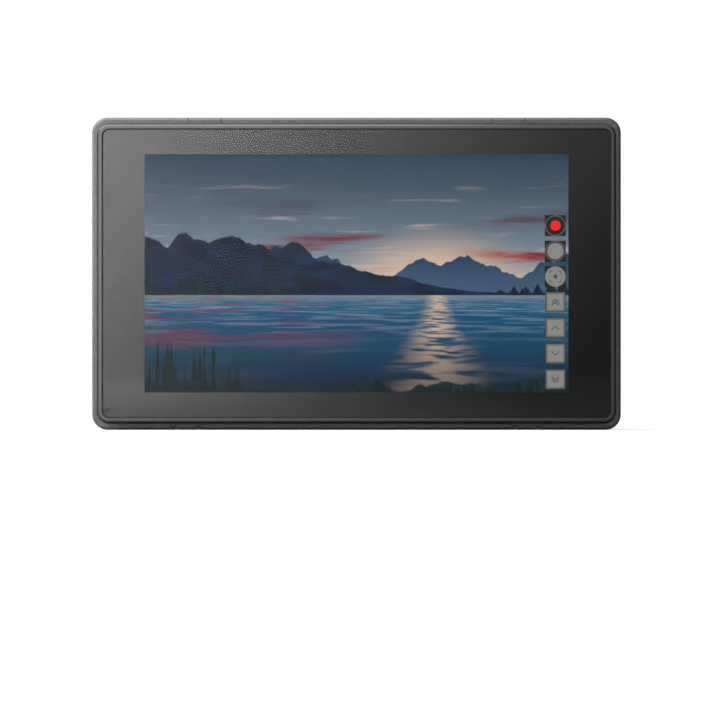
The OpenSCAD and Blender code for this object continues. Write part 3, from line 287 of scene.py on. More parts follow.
def circuit_board():
    """Glass fibre board under solder mask: tracks stand out a shade lighter below the green."""
    material, tree, place = new_material("green_circuit_board")
    turned = add(tree, "Mapping", {"Vector": place, "Rotation": Vector((math.pi / 2, 0, 0))})
    tracks = add(tree, "TexBrick", {"Vector": turned, "Scale": 420.0, "Mortar Size": 0.03,
                                    "Color1": (0, 0, 0), "Color2": (0.2, 0.2, 0.2), "Mortar": (1, 1, 1)},
                 offset=0.37, squash=1.7)
    vias = add(tree, "TexVoronoi", {"Vector": place, "Scale": 520.0}, out="Distance")
    holes = add(tree, "Math", (vias, 0.16), operation="LESS_THAN")
    mask = add(tree, "Mix", {"Factor": holes, "A": tracks, "B": (1, 1, 1)}, **MIX)
    base = add(tree, "Mix", {"Factor": mask, "A": linear("#0c4a26"), "B": linear("#1f7a3e")}, **MIX)
    bump = add(tree, "Bump", {"Strength": 0.5, "Distance": 0.03 * MM, "Height": mask})
    board = add(tree, "BsdfPrincipled", {"Base Color": base, "Roughness": 0.3, "IOR": 1.5, "Normal": bump})
    add(tree, "OutputMaterial", {"Surface": board})
    return material


def film_cable():
    """Amber film with copper tracks side by side below its surface."""
    material, tree, place = new_material("polyimide_film")
    waves = add(tree, "TexWave", {"Vector": place, "Scale": 1 / (0.5 * MM) / 10, "Distortion": 0.0},
                bands_direction="X")
    base = add(tree, "Mix", {"Factor": waves, "A": linear("#a8641c"), "B": linear("#7c3f12")}, **MIX)
    film = add(tree, "BsdfPrincipled", {"Base Color": base, "Roughness": 0.28, "IOR": 1.6})
    add(tree, "OutputMaterial", {"Surface": film})
    return material


def lake_picture():
    """The lit display: a lake at dusk with clouds, ridges, a wooded shore and rippled water."""
    material, tree, place = new_material("lit_display_lake_at_dusk")
    low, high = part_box("border_mask")
    window = (high - low) / 2
    middle = (high + low) / 2
    side = add(tree, "SeparateXYZ", (place,), out="X")
    rise = add(tree, "SeparateXYZ", (place,), out="Z")
    # From here on the picture's half width and half height are about 1
    u = add(tree, "MapRange", (side, -window.x, window.x, -1.19, 1.19), clamp=False)
    v = add(tree, "MapRange", (rise, middle.z - window.z, middle.z + window.z, -1.2, 1.2), clamp=False)
    horizon = -0.18

    def grain(scales, seed, detail, ends, levels=(0.0, 1.0), across=u, upward=v):
        """Noise stretched along the picture's two directions, its range spread between two levels"""
        wide = add(tree, "Math", (across, scales[0]), **TIMES)
        tall = add(tree, "Math", (upward, scales[1]), **TIMES)
        point = add(tree, "CombineXYZ", (wide, tall, seed))
        noise = add(tree, "TexNoise", {"Vector": point, "Scale": 1.0, "Detail": detail, "Roughness": 0.55})
        return add(tree, "MapRange", (noise, *ends, *levels), **SMOOTH)

    def over(view, factors, colour):
        """Lays a colour or a second view over the view, as strongly as the factors say together"""
        factor = factors[0]
        for other in factors[1:]:
            factor = add(tree, "Math", (factor, other), **TIMES)
        return add(tree, "Mix", {"Factor": factor, "A": view, "B": colour}, **MIX)

    def below(height, soft=0.006):
        """1 below a height and 0 above it, with a soft edge"""
        gap = add(tree, "Math", (height, v), operation="SUBTRACT")
        return add(tree, "MapRange", (gap, 0.0, soft), **SMOOTH)

    # Sky with dark red cloud banks, pale wisps and the glow where the sun went down
    half_up = add(tree, "MapRange", (v, -1.0, 1.0))
    sky = add(tree, "ValToRGB", (half_up,), stops=(
        (0.40, "#e0b7ab"), (1.0, "#24405a"), (0.45, "#cdb3b0"), (0.53, "#8b98a2"), (0.66, "#66798a"),
        (0.84, "#46596b")))
    cloud_tone = add(tree, "ValToRGB", (half_up,), stops=(
        (0.42, "#c8323f"), (0.95, "#16304c"), (0.52, "#a3182c"), (0.62, "#7e1c33"), (0.74, "#4a2440"),
        (0.84, "#2a3856")))
    bank = grain((1.1, 5.5), 3.1, 6.0, (0.5, 0.66))
    sky = over(sky, (bank, add(tree, "MapRange", (v, 0.95, 0.1), **SMOOTH)), cloud_tone)
    wisps = grain((2.4, 15.0), 9.4, 5.0, (0.56, 0.72), (0.0, 0.55))
    sky = over(sky, (wisps, add(tree, "MapRange", (v, 1.0, 0.3), **SMOOTH)), linear("#d9c2bd"))
    sun_x = add(tree, "Math", (u, 0.38), operation="SUBTRACT")
    sun_z = add(tree, "Math", (v, horizon + 0.1), operation="SUBTRACT")
    sun_far = add(tree, "VectorMath", (add(tree, "CombineXYZ", (sun_x, sun_z, 0.0)),), out="Value",
                  operation="LENGTH")
    glow = add(tree, "MapRange", (sun_far, 0.55, 0.0, 0.0, 0.85), **SMOOTH)
    sky = over(sky, (glow,), linear("#f4c9a2"))

    # Far ridge in haze, nearer ridge of dark rock, and a wooded shore
    far_ridge = grain((1.5, 0.0), 7.7, 6.0, (0.25, 0.8), (horizon + 0.05, horizon + 0.62))
    haze = add(tree, "MapRange", (v, horizon, horizon + 0.42), **SMOOTH)
    sky = over(sky, (below(far_ridge),), over(linear("#3f5d78"), (haze,), linear("#1c3a58")))
    mid_rise = add(tree, "MapRange", (u, 0.75, -0.9, 0.0, 0.62), **SMOOTH)
    mid_form = grain((2.7, 0.0), 1.9, 7.0, (0.2, 0.8), (0.35, 1.2))
    mid_ridge = add(tree, "Math", (mid_rise, mid_form, horizon + 0.02), operation="MULTIPLY_ADD")
    rock = grain((9.0, 14.0), 4.4, 5.0, (0.3, 0.7))
    sky = over(sky, (below(mid_ridge),), over(linear("#061428"), (rock,), linear("#153050")))
    comb = add(tree, "Math", (u, 34.0), **TIMES)
    saw = add(tree, "Math", (comb, 1.0), operation="PINGPONG")
    tree_tall = grain((17.0, 0.0), 5.5, 2.0, (0.3, 0.7), (0.06, 0.2))
    tree_form = add(tree, "Math", (saw, tree_tall), **TIMES)
    left_shore = add(tree, "MapRange", (u, -0.1, -0.55), **SMOOTH)
    right_shore = add(tree, "MapRange", (u, 0.55, 0.95), **SMOOTH)
    shore = add(tree, "Math", (left_shore, right_shore), operation="MAXIMUM")
    tree_top = add(tree, "Math", (tree_form, shore, horizon + 0.02), operation="MULTIPLY_ADD")
    needles = grain((90.0, 60.0), 2.2, 2.0, (0.35, 0.65))
    sky = over(sky, (below(tree_top, 0.02),), over(linear("#06121f"), (needles,), linear("#0d2f30")))

    # Water: ripples that grow towards the front, red patches at the left and the sun's path
    depth = add(tree, "Math", (horizon, v), operation="SUBTRACT")
    near = add(tree, "Math", (depth, 0.07), operation="ADD")
    far = add(tree, "Math", (0.5, near), operation="DIVIDE")
    flow = {"across": add(tree, "Math", (u, far), **TIMES), "upward": far}
    water = add(tree, "ValToRGB", (depth,), stops=(
        (0.0, "#6c8292"), (0.82, "#051626"), (0.06, "#2c6480"), (0.18, "#0e5074"), (0.4, "#0b4560"),
        (0.62, "#07304a")))
    ripple = grain((2.2, 9.0), 6.6, 3.0, (0.5, 0.62), **flow)
    dying = add(tree, "MapRange", (depth, 0.0, 0.45, 0.6, 0.06), **SMOOTH)
    water = over(water, (ripple, dying), linear("#93a5b0"))
    red_patch = grain((1.3, 3.0), 8.1, 3.0, (0.52, 0.64), **flow)
    left_side = add(tree, "MapRange", (u, 0.35, -0.7), **SMOOTH)
    dying = add(tree, "MapRange", (depth, 0.03, 0.6, 0.85, 0.12), **SMOOTH)
    water = over(water, (red_patch, left_side, dying), linear("#8a1a30"))
    path_x = add(tree, "Math", (sun_x,), operation="ABSOLUTE")
    spread = add(tree, "MapRange", (depth, 0.0, 0.8, 0.05, 0.22), **SMOOTH)
    path = add(tree, "Math", (path_x, spread), operation="DIVIDE")
    path = add(tree, "MapRange", (path, 1.4, 0.0), **SMOOTH)
    glint = grain((5.0, 14.0), 2.9, 2.0, (0.42, 0.56), **flow)
    dying = add(tree, "MapRange", (depth, 0.0, 0.75, 0.95, 0.25), **SMOOTH)
    water = over(water, (path, glint, dying), linear("#f0c7a4"))
    view = over(sky, (add(tree, "MapRange", (depth, -0.002, 0.004), **SMOOTH),), water)

    # Reeds and grass in front
    reed = grain((46.0, 0.6), 3.9, 2.0, (0.35, 0.8), (-1.02, -0.36))
    reed_side = add(tree, "MapRange", (u, -0.3, -0.75), **SMOOTH)
    bank_line = grain((3.1, 0.0), 9.9, 4.0, (0.25, 0.75), (-1.04, -0.82))
    reed_top = add(tree, "Mix", {"Factor": reed_side, "A": bank_line, "B": reed})
    grass = grain((60.0, 8.0), 7.2, 3.0, (0.35, 0.7))
    view = over(view, (below(reed_top, 0.02),), over(linear("#050d14"), (grass,), linear("#123434")))
    picture = add(tree, "BsdfPrincipled", {
        "Base Color": (0.004, 0.004, 0.005), "Roughness": 0.4, "Specular IOR Level": 0.12,
        "Emission Color": view, "Emission Strength": 1.0})
    add(tree, "OutputMaterial", {"Surface": picture})
    return material


def assign(names, material):
    """Gives CAD nodes this material."""
    for name in names:
        node = NODES[name]
        node.data.materials.clear()
        node.data.materials.append(material)


# Modelling

def begin():
    """Object mode with nothing selected."""
    if bpy.context.object and bpy.context.object.mode != "OBJECT":
        bpy.ops.object.mode_set(mode="OBJECT")
    bpy.ops.object.select_all(action="DESELECT")


def pick(test, kind="FACE"):
    """In edit mode, selects the faces, edges or vertices that the test accepts."""
    bpy.ops.mesh.select_mode(type=kind)
    bpy.ops.mesh.select_all(action="DESELECT")
    mesh = bmesh.from_edit_mesh(bpy.context.object.data)
    for item in {"FACE": mesh.faces, "EDGE": mesh.edges, "VERT": mesh.verts}[kind]:
        if test(item):
            item.select_set(True)
    mesh.select_flush_mode()
    bmesh.update_edit_mesh(bpy.context.object.data)


def settle(name, material, body, place=None, smooth=35):
    """Names the active object, puts its place into its mesh and lets it ride on its body."""
    if bpy.context.object.mode != "OBJECT":
        bpy.ops.object.mode_set(mode="OBJECT")
    piece = bpy.context.object
    bpy.ops.object.select_all(action="DESELECT")
    piece.select_set(True)
    bpy.ops.object.transform_apply(location=True, rotation=True, scale=True)
    if place is not None:
        piece.matrix_world = place
        bpy.ops.object.transform_apply(location=True, rotation=True, scale=True)
    piece.name = piece.data.name = name
    piece.data.materials.clear()
    piece.data.materials.append(material)
    if smooth:
        bpy.ops.object.shade_smooth_by_angle(angle=math.radians(smooth))
    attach(piece, body)
    return piece


def heal():
    """In edit mode, merges doubles, points the faces outwards and leaves edit mode."""
    bpy.ops.mesh.select_all(action="SELECT")
    bpy.ops.mesh.remove_doubles(threshold=1e-7)
    bpy.ops.mesh.normals_make_consistent(inside=False)
    bpy.ops.object.mode_set(mode="OBJECT")


def edge_loop(points):
    """A new object that holds one closed loop of edges, left in edit mode."""
    begin()
    bpy.ops.mesh.primitive_plane_add(size=MM)
    made = bpy.context.object
    bpy.ops.object.mode_set(mode="EDIT")
    bpy.ops.mesh.select_all(action="SELECT")
    bpy.ops.mesh.delete(type="VERT")
    mesh = bmesh.from_edit_mesh(made.data)
    corners = [mesh.verts.new(point) for point in points]
    for a, b in zip(corners, corners[1:] + corners[:1]):
        mesh.edges.new((a, b))
    bmesh.update_edit_mesh(made.data)
    return made


def flat_shape(loops, thick):
    """A thin flat shape in the XY plane with its top at z 0, drawn from closed loops in millimetres."""
    begin()
    drawing = bpy.data.curves.new("drawing", "CURVE")
    drawing.dimensions = "2D"
    drawing.fill_mode = "BOTH"
    drawing.extrude = thick / 2
    for loop in loops:
        line = drawing.splines.new("POLY")
        line.points.add(len(loop) - 1)
        for point, (x, y) in zip(line.points, loop):
            point.co = (x * MM, y * MM, 0, 1)
        line.use_cyclic_u = True
    shape = bpy.data.objects.new("drawing", drawing)
    bpy.context.collection.objects.link(shape)
    bpy.context.view_layer.objects.active = shape
    shape.select_set(True)
    bpy.ops.object.convert(target="MESH")
    close_flat(thick)


def flat_text(words, size, thick):
    """Thin flat lettering in the XY plane, its middle at the origin and its top at z 0."""
    begin()
    bpy.ops.object.text_add()
    text = bpy.context.object
    text.data.body = words
    text.data.size = size
    text.data.align_x = "CENTER"
    text.data.align_y = "CENTER"
    text.data.extrude = thick / 2
    text.data.offset = 0.00003
    bpy.ops.object.convert(target="MESH")
    close_flat(thick)


def close_flat(thick):
    """Moves a flat shape's top to z 0 and merges its rims."""
    bpy.ops.object.mode_set(mode="EDIT")
    bpy.ops.mesh.select_all(action="SELECT")
    bpy.ops.transform.translate(value=(0, 0, -thick / 2))
    heal()


def arc(x, y, r, start=0, end=360, count=32):
    """Points round an arc, in degrees."""
    steps = count if abs(end - start) >= 360 else count - 1
    angles = [math.radians(start + (end - start) * i / steps) for i in range(count)]
    return [(x + r * math.cos(angle), y + r * math.sin(angle)) for angle in angles]


def rounded(x, y, w, h, r, count=6):
    """A rectangle round (x, y) with round corners."""
    corners = ((1, 1, 0), (-1, 1, 90), (-1, -1, 180), (1, -1, 270))
    return [point for sx, sy, start in corners
            for point in arc(x + sx * (w / 2 - r), y + sy * (h / 2 - r), r, start, start + 90, count)]


def bar(x, y, w, h):
    """A plain rectangle round (x, y)."""
    return [(x - w / 2, y - h / 2), (x + w / 2, y - h / 2), (x + w / 2, y + h / 2), (x - w / 2, y + h / 2)]


def chevron(y, w, rise, stroke, up=1):
    """A bent stroke that points up or down."""
    low, high = y - up * rise / 2, y + up * rise / 2
    return [(-w / 2, low), (0, high), (w / 2, low), (w / 2, low - up * stroke), (0, high - up * stroke),
            (-w / 2, low - up * stroke)]


def corner_marks(w, h, w_end, h_end, stroke):
    """Four bent strokes in the corners of a rectangle, each running to w_end and to h_end."""
    inner_w, inner_h = w - stroke, h - stroke
    bent = ((w, h), (w_end, h), (w_end, inner_h), (inner_w, inner_h), (inner_w, h_end), (w, h_end))
    return [[(sx * x, sy * y) for x, y in bent] for sx in (-1, 1) for sy in (-1, 1)]


def on_top(x, y, z):
    """Where a sign lies on the top face, in millimetres: flat, read from the front."""
    return Matrix.Translation((x * MM, y * MM, z * MM))


def on_screen(x, z, y):
    """Where a sign stands in the plane of the picture, read from the front."""
    return Matrix.Translation((x, y, z)) @ Matrix.Rotation(math.pi / 2, 4, "X")


# Signs on the keys, in millimetres round their own middle

LENS_SIGN = [arc(-0.2, 0.2, 0.82), arc(-0.2, 0.2, 0.6), bar(-0.2, 0.2, 0.7, 0.18),
             [(0.34, -0.48), (0.48, -0.34), (1.08, -0.9), (0.9, -1.08)]]
SIGNS = {
    2: [rounded(-0.35, 0, 1.75, 1.35, 0.25), rounded(-0.35, 0, 1.33, 0.93, 0.15),
        [(0.65, -0.2), (1.3, -0.62), (1.3, 0.62), (0.65, 0.2)]],
    3: [rounded(0, -0.08, 2.5, 1.6, 0.25), rounded(0, -0.08, 2.1, 1.2, 0.15), arc(0, -0.08, 0.46),
        arc(0, -0.08, 0.22), bar(-0.62, 0.86, 0.62, 0.22)],
    4: [arc(0, 0, 0.52), arc(0, 0, 0.3)] + corner_marks(1.25, 0.9, 0.72, 0.4, 0.2),
    5: LENS_SIGN + [bar(-0.2, 0.465, 0.18, 0.35), bar(-0.2, -0.065, 0.18, 0.35)],
    6: LENS_SIGN,
}
RETURN_SIGN = [[(-0.85, -1.2)] + arc(0.15, -0.25, 0.95, -90, 90, 20)
               + [(-0.8, 0.7), (-0.8, 1.07), (-1.45, 0.535), (-0.8, 0.0), (-0.8, 0.37)]
               + arc(0.15, -0.25, 0.62, 90, -90, 20) + [(-0.85, -0.87)]]
MENU_SIGN = [bar(0, y, 5.2, 0.36) for y in (-0.8, 0.0, 0.8)]
# Where the white disc and the sign lie on a key, from the key's middle and the housing's
DISC_SPOT = (-0.937, -1.443)
SIGN_SPOT = (1.0, 1.5)


class MONITOR_OT_housing(bpy.types.Operator):
    """Finishes the housing, bezel and rear cover"""
    bl_idname = "monitor.housing"
    bl_label = "Finish housing"

    def execute(self, context):
        look = context.scene.monitor_finish
        # Spark-eroded mould: an even grain that scatters the light. It is drawn coarser than the real
        # 0.2 mm, so that it still shows at the camera's distance
        assign(["mid_housing"], moulded_plastic("spark_textured_abs", look.housing_colour, look.grain,
                                                look.grain_depth, 0.4, 0.5))
        # Polished and bead-blasted mould: a tight satin that still mirrors softly
        assign(["front_bezel"], moulded_plastic("satin_moulded_abs", look.bezel_colour, 0.3 * MM,
                                                0.003 * MM, 0.2, 0.03))
        # Fine texture, a shade lighter than the frame: this lighter tone is painted light, standing in for
        # the light that the cover's sloped rim catches from above
        assign(["rear_cover"], moulded_plastic("fine_textured_abs", look.cover_colour, 0.4 * MM,
                                               0.02 * MM, 0.44, 0.05))
        # Painted shade: black strips set low in the gap round the bezel and in the gap round the glass,
        # where there is only shade, so that both gaps read as dark thin lines
        gap_shade = moulded_plastic("painted_shade_gap_black", linear("#0a0a0b"), 0.3 * MM, 0.004 * MM, 0.7, 0.1, 0.2)
        low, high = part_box("front_bezel")
        middle = (low + high) / 2
        wide, tall = (high.x - low.x) / MM, (high.z - low.z) / MM
        # The hood slots cut the painted-shade strip's top: it stops at their outer ends and goes on between
        # them
        corner_r, slot_outer, between = 3.1, 48.6, 78
        paths = []
        for out in (0.41, 0.04):
            whole = rounded(0, 0, wide + 2 * out, tall + 2 * out, corner_r + out)
            top = tall / 2 + out
            paths.append([(-slot_outer, top)] + whole[6:] + whole[:6] + [(slot_outer, top)])
        flat_shape([paths[0] + paths[1][::-1], bar(0, tall / 2 + 0.225, between, 0.37)], 0.7 * MM)
        settle("seam_gap_painted_shade", gap_shade, "housing", on_screen(middle.x, middle.z, high.y + 0.12 * MM), 0)
        # The second strip of painted shade, low in the gap round the glass
        low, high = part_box("cover_glass")
        wide, tall = (high.x - low.x) / MM, (high.z - low.z) / MM
        corner_r = 1.92
        flat_shape([rounded(0, 0, wide + 2 * out, tall + 2 * out, corner_r + out) for out in (0.2, 0.02)],
                   0.8 * MM)
        settle("glass_gap_painted_shade", gap_shade, "housing", on_screen(middle.x, middle.z, low.y + 0.1 * MM), 0)
        return {"FINISHED"}


class MONITOR_OT_screen(bpy.types.Operator):
    """Finishes the glass and lights the picture with its touch signs"""
    bl_idname = "monitor.screen"
    bl_label = "Light screen"

    def execute(self, context):
        look = context.scene.monitor_finish
        signs = context.scene.monitor_signs
        # Chemically hardened glass with a coating against reflections
        assign(["cover_glass"], clear_sheet("coated_cover_glass", "#15171a", 0.07, 0.03))
        assign(["bond_sheet"], clear_sheet("optical_adhesive", "#f4f4f6", 0.01, 0.1, 0.0))
        assign(["border_mask"], black_glass_ink(look.ink_colour))
        assign(["lcd_panel"], lake_picture())
        low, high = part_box("lcd_panel")
        middle_z = (low.z + high.z) / 2
        tile_look = lit_sign("lit_tile_grey", "#8b8b88")
        edge_look = lit_sign("lit_edge_grey", "#6b6663")
        rim_look = lit_sign("lit_rim_dark", "#1f2328")
        mark_look = lit_sign("lit_mark_dark", "#48484a")
        dark_look = lit_sign("lit_tile_dark", "#181313")
        ring_look = lit_sign("lit_ring_brown", "#7c7068")
        red_look = lit_sign("lit_dot_red", "#fb1212")
        side = signs.tile / MM
        layers = {"rim": 0.02 * MM, "edge": 0.05 * MM, "tile": 0.08 * MM, "mark": 0.11 * MM}

        def stand(name, loops, look_of, layer, up):
            flat_shape(loops, 0.02 * MM)
            settle(name, look_of, "housing",
                   on_screen(signs.tile_x, middle_z + up * MM, low.y - layers[layer]), 0)

        # Each arrow tile's height from the middle, which way it points, and its count of chevrons
        arrows = ((-8.2, 1, 2), (-15.6, 1, 1), (-23.0, -1, 1), (-30.4, -1, 2))
        for at, (up, way, count) in enumerate(arrows, 1):
            tile = f"arrow_tile_{at}"
            stand(f"{tile}_rim", [rounded(0, 0, side, side, 0.3)], rim_look, "rim", up)
            stand(f"{tile}_edge", [rounded(0, 0, side - 0.3, side - 0.3, 0.3)], edge_look, "edge", up)
            stand(tile, [rounded(0, 0, side - 1.3, side - 1.3, 0.2)], tile_look, "tile", up)
            places = (0,) if count == 1 else (0.32, -0.5)
            stand(f"arrow_mark_{at}", [chevron(way * 0.15 + y, 2.2, 1.0, 0.38, way) for y in places],
                  mark_look, "mark", up)
        heights = {"record": 13.75, "still": 6.4, "focus": -0.9}
        for name, up in heights.items():
            stand(f"{name}_tile", [bar(0, 0, side + 0.2, side + 0.2)], dark_look, "rim", up)
        for name in ("record", "still"):
            stand(f"{name}_ring", [arc(0, 0, 2.9, count=56), arc(0, 0, 2.72, count=56)], ring_look, "edge",
                  heights[name])
        stand("record_dot", [arc(0, 0, 1.48, count=48)], red_look, "mark", heights["record"])
        stand("still_disc", [arc(0, 0, 2.38, count=48)], tile_look, "tile", heights["still"])
        stand("focus_disc", [arc(0, 0, 2.93, count=56)], tile_look, "tile", heights["focus"])
        stand("focus_corners", corner_marks(1.7, 1.7, 0.85, 0.85, 0.25) + [arc(0, 0, 0.62, count=24)],
              mark_look, "mark", heights["focus"])
        return {"FINISHED"}


class MONITOR_OT_keys(bpy.types.Operator):
    """Finishes the keys and prints their signs"""
    bl_idname = "monitor.keys"
    bl_label = "Print keys"

    def execute(self, context):
        look = context.scene.monitor_finish
        signs = context.scene.monitor_signs
        # Moulded with a finer grain than the housing, so that they read a little darker
        assign(KEYS + ("return_button",), moulded_plastic("satin_key_plastic", look.key_colour, 0.35 * MM,
                                                          0.01 * MM, 0.42, 0.04))
        white = printed_ink("white_pad_print", look.print_colour)
        dark = printed_ink("dark_pad_print", linear("#2a2a2b"))
        ink = signs.ink_t / MM
        for number, name in enumerate(KEYS, 1):
            low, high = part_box(name)
            x = (low.x + high.x) / 2 / MM
            top = high.z / MM
            disc_x, disc_y = x + DISC_SPOT[0], DISC_SPOT[1]
            sign_x, sign_y = x + SIGN_SPOT[0], SIGN_SPOT[1]
            flat_shape([arc(0, 0, signs.disc_r / MM, count=40)], signs.ink_t)
            settle(f"{name}_disc", white, name, on_top(disc_x, disc_y, top + ink), 0)
            flat_text(str(number), signs.number_size, signs.ink_t)
            settle(f"{name}_number", dark, name, on_top(disc_x, disc_y, top + 2 * ink), 0)
            if number in SIGNS:
                flat_shape(SIGNS[number], signs.ink_t)
                settle(f"{name}_sign", white, name, on_top(sign_x, sign_y, top + ink), 0)
        low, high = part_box("return_button")
        flat_shape(RETURN_SIGN, signs.ink_t)
        settle("return_sign", white, "return_button",
               on_top((low.x + high.x) / 2 / MM, 0, high.z / MM + ink), 0)
        low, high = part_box("menu_wheel")
        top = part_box("mid_housing")[1].z / MM
        flat_shape(MENU_SIGN, signs.ink_t)
        settle("menu_sign", white, "housing", on_top((low.x + high.x) / 2 / MM, -3.4, top + ink), 0)
        return {"FINISHED"}


class MONITOR_OT_wheel(bpy.types.Operator):
    """Finishes the menu wheel and what carries it"""
    bl_idname = "monitor.wheel"
    bl_label = "Finish wheel"

    def execute(self, context):
        look = context.scene.monitor_finish
        # Moulded in a polished tool: black with bright lines along its ribs
        assign(["menu_wheel"], moulded_plastic("polished_wheel_plastic", look.wheel_colour, 0.6 * MM,
                                               0.002 * MM, 0.2, 0.04, 0.7))
        # Low-friction plastic, milky and smooth
        assign(["wheel_carrier"], moulded_plastic("natural_acetal", linear("#d5d5cf"), 0.5 * MM,
                                                  0.004 * MM, 0.4, 0.02))
        assign(["wheel_encoder"], moulded_plastic("filled_nylon", linear("#2b2b2c"), 0.4 * MM,
                                                  0.01 * MM, 0.5, 0.05))
        return {"FINISHED"}


class MONITOR_OT_threads(bpy.types.Operator):
    """Cuts the tripod threads into their brass inserts"""
    bl_idname = "monitor.threads"
    bl_label = "Cut threads"

    def insert(self, name, node, brass, place):
        """An insert with its mouth at z 0 and its thread running down from there"""
        sizes = bpy.context.scene.monitor_thread
        low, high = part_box(node)
        length = high.z - low.z
        collar = (high.x - low.x) / 2
        wall, root = sizes.outer_r, sizes.major_r
        collar_top = -3.5 * MM
        profile = ((wall - 0.1 * MM, 0), (wall, -0.1 * MM), (wall, collar_top), (collar, collar_top),
                   (collar, -length), (root + 0.1 * MM, -length), (root, -length + 0.1 * MM),
                   (root, -0.4 * MM), (root + 0.24 * MM, -0.12 * MM), (root + 0.3 * MM, 0))
        sleeve = edge_loop([(r, 0, z) for r, z in profile])
        bpy.ops.mesh.select_all(action="SELECT")
        bpy.ops.mesh.spin(steps=64, angle=2 * math.pi, center=(0, 0, 0), axis=(0, 0, 1))
        heal()

        bite, step, start = 0.05 * MM, sizes.pitch, 0.55 * MM - length
        tooth = ((root + bite, 0.06), (root + bite, 0.94), (sizes.minor_r, 0.57), (sizes.minor_r, 0.43))
        coil = edge_loop([(r, 0, share * step + start) for r, share in tooth])
        bpy.ops.object.mode_set(mode="OBJECT")
        wind = coil.modifiers.new("wind", "SCREW")
        wind.axis = "Z"
        wind.angle = 2 * math.pi
        wind.screw_offset = step
        wind.iterations = sizes.turns
        wind.steps = wind.render_steps = 40
        bpy.ops.object.modifier_apply(modifier="wind")
        bpy.ops.object.mode_set(mode="EDIT")
        pick(lambda edge: edge.is_boundary, "EDGE")
        bpy.ops.mesh.edge_face_add()
        heal()
        sleeve.select_set(True)
        coil.select_set(True)
        bpy.context.view_layer.objects.active = sleeve
        bpy.ops.object.join()
        piece = settle(name, brass, "housing", place, 30)
        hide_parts(node)

    def execute(self, context):
        look = context.scene.monitor_finish
        brass = turned_brass(look.brass_colour)
        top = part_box("top_thread_insert")[1].z
        self.insert("top_thread_brass", "top_thread_insert", brass, Matrix.Translation((0, 0, top)))
        self.insert("bottom_thread_brass", "bottom_thread_insert", brass, Matrix.Rotation(math.pi, 4, "X"))
        # Rolled sheet with a bright brushed face
        assign(["top_mount_plate", "bottom_mount_plate", "wheel_bracket"],
               metal("brushed_stainless_sheet", linear("#c4c4c2"), 0.3, 0.6 * MM, (1, 14, 14), 0.004 * MM))
        return {"FINISHED"}


class MONITOR_OT_sockets(bpy.types.Operator):
    """Finishes the sockets and sets their contacts"""
    bl_idname = "monitor.sockets"
    bl_label = "Fit sockets"

    def pins(self, name, gold, side, count, pitch, size, spot):
        """A row of contacts on one side of a socket's tongue: one is modelled and repeated"""
        begin()
        bpy.ops.mesh.primitive_cube_add(size=1)
        pin = bpy.context.object
        pin.scale = size
        bpy.ops.object.transform_apply(scale=True)
        bpy.ops.object.mode_set(mode="EDIT")
        pick(lambda edge: all(abs(vert.co.y + size[1] / 2) < 1e-7 for vert in edge.verts), "EDGE")
        bpy.ops.mesh.bevel(offset=min(size) * 0.4, segments=2, affect="EDGES")
        bpy.ops.object.mode_set(mode="OBJECT")
        row = pin.modifiers.new("row", "ARRAY")
        row.count = count
        row.use_relative_offset = False
        row.use_constant_offset = True
        row.constant_offset_displace = (pitch, 0, 0)
        bpy.ops.object.modifier_apply(modifier="row")
        pin.location.x = -pitch * (count - 1) / 2
        place = Matrix.Translation(spot) @ Matrix.Rotation(-math.pi / 2, 4, "Y")
        if side > 0:
            place = place @ Matrix.Rotation(math.pi, 4, "Z")
        settle(f"{name}_pins_{'upper' if side > 0 else 'lower'}", gold, "housing", place)

    def execute(self, context):
        # Nickel-plated pressed steel: bright, with faint marks of the press
        assign(["hdmi_in_socket", "hdmi_out_socket", "usb_c_socket"],
               metal("nickel_plated_shell", linear("#b9b8b4"), 0.28, 0.5 * MM, (1, 3, 3), 0.003 * MM))
        # Heat-proof black plastic
        assign(["headphone_socket", "dc_socket"],
               moulded_plastic("socket_plastic", linear("#1c1c1d"), 0.3 * MM, 0.01 * MM, 0.4, 0.05))
        gold = metal("gold_plated_contact", linear("#e3bf72"), 0.22, 0.4 * MM, (1, 1, 6), 0.002 * MM)
        tongue_y = 0.55 * MM
        for node in ("hdmi_in_socket", "hdmi_out_socket"):
            low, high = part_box(node)
            for side, count in ((-1, 10), (1, 9)):
                spot = (low.x + 3.4 * MM, tongue_y + side * 0.82 * MM, (low.z + high.z) / 2)
                self.pins(node, gold, side, count, 1.0 * MM, (0.45 * MM, 0.08 * MM, 3.4 * MM), spot)
        low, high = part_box("usb_c_socket")
        for side in (-1, 1):
            spot = (high.x - 2.7 * MM, (low.y + high.y) / 2 + side * 0.37 * MM, (low.z + high.z) / 2)
            self.pins("usb_c", gold, side, 12, 0.5 * MM, (0.24 * MM, 0.05 * MM, 2.6 * MM), spot)
        assign(["battery_contacts"], gold)
        return {"FINISHED"}


class MONITOR_OT_back(bpy.types.Operator):
    """Finishes the battery plate, its release and the screws"""
    bl_idname = "monitor.back"
    bl_label = "Finish back"

    def execute(self, context):
        # Glass-filled nylon: dull black that takes wear
        assign(["battery_plate", "battery_release"],
               moulded_plastic("glass_filled_nylon", linear("#262627"), 0.45 * MM, 0.02 * MM, 0.48, 0.08))
        # Black oxide on the screws that show, bright zinc on those inside
        assign(["rear_screws", "battery_plate_screws"],
               metal("black_oxide_steel", linear("#39393b"), 0.36, 0.5 * MM, (1, 1, 1), 0.004 * MM))
        zinc = metal("zinc_plated_steel", linear("#bcbec2"), 0.3, 0.6 * MM, (1, 1, 1), 0.004 * MM)
        assign(["bezel_screws", "mount_plate_screws", "button_board_screws", "return_board_screws",
                "board_screws", "heat_spreader_screws", "wheel_bracket_screws", "wheel_axle"], zinc)
        # Cold-rolled spring strip
        assign(["latch_spring"],
               metal("spring_steel", linear("#a9abad"), 0.26, 0.5 * MM, (1, 8, 8), 0.003 * MM))
        return {"FINISHED"}


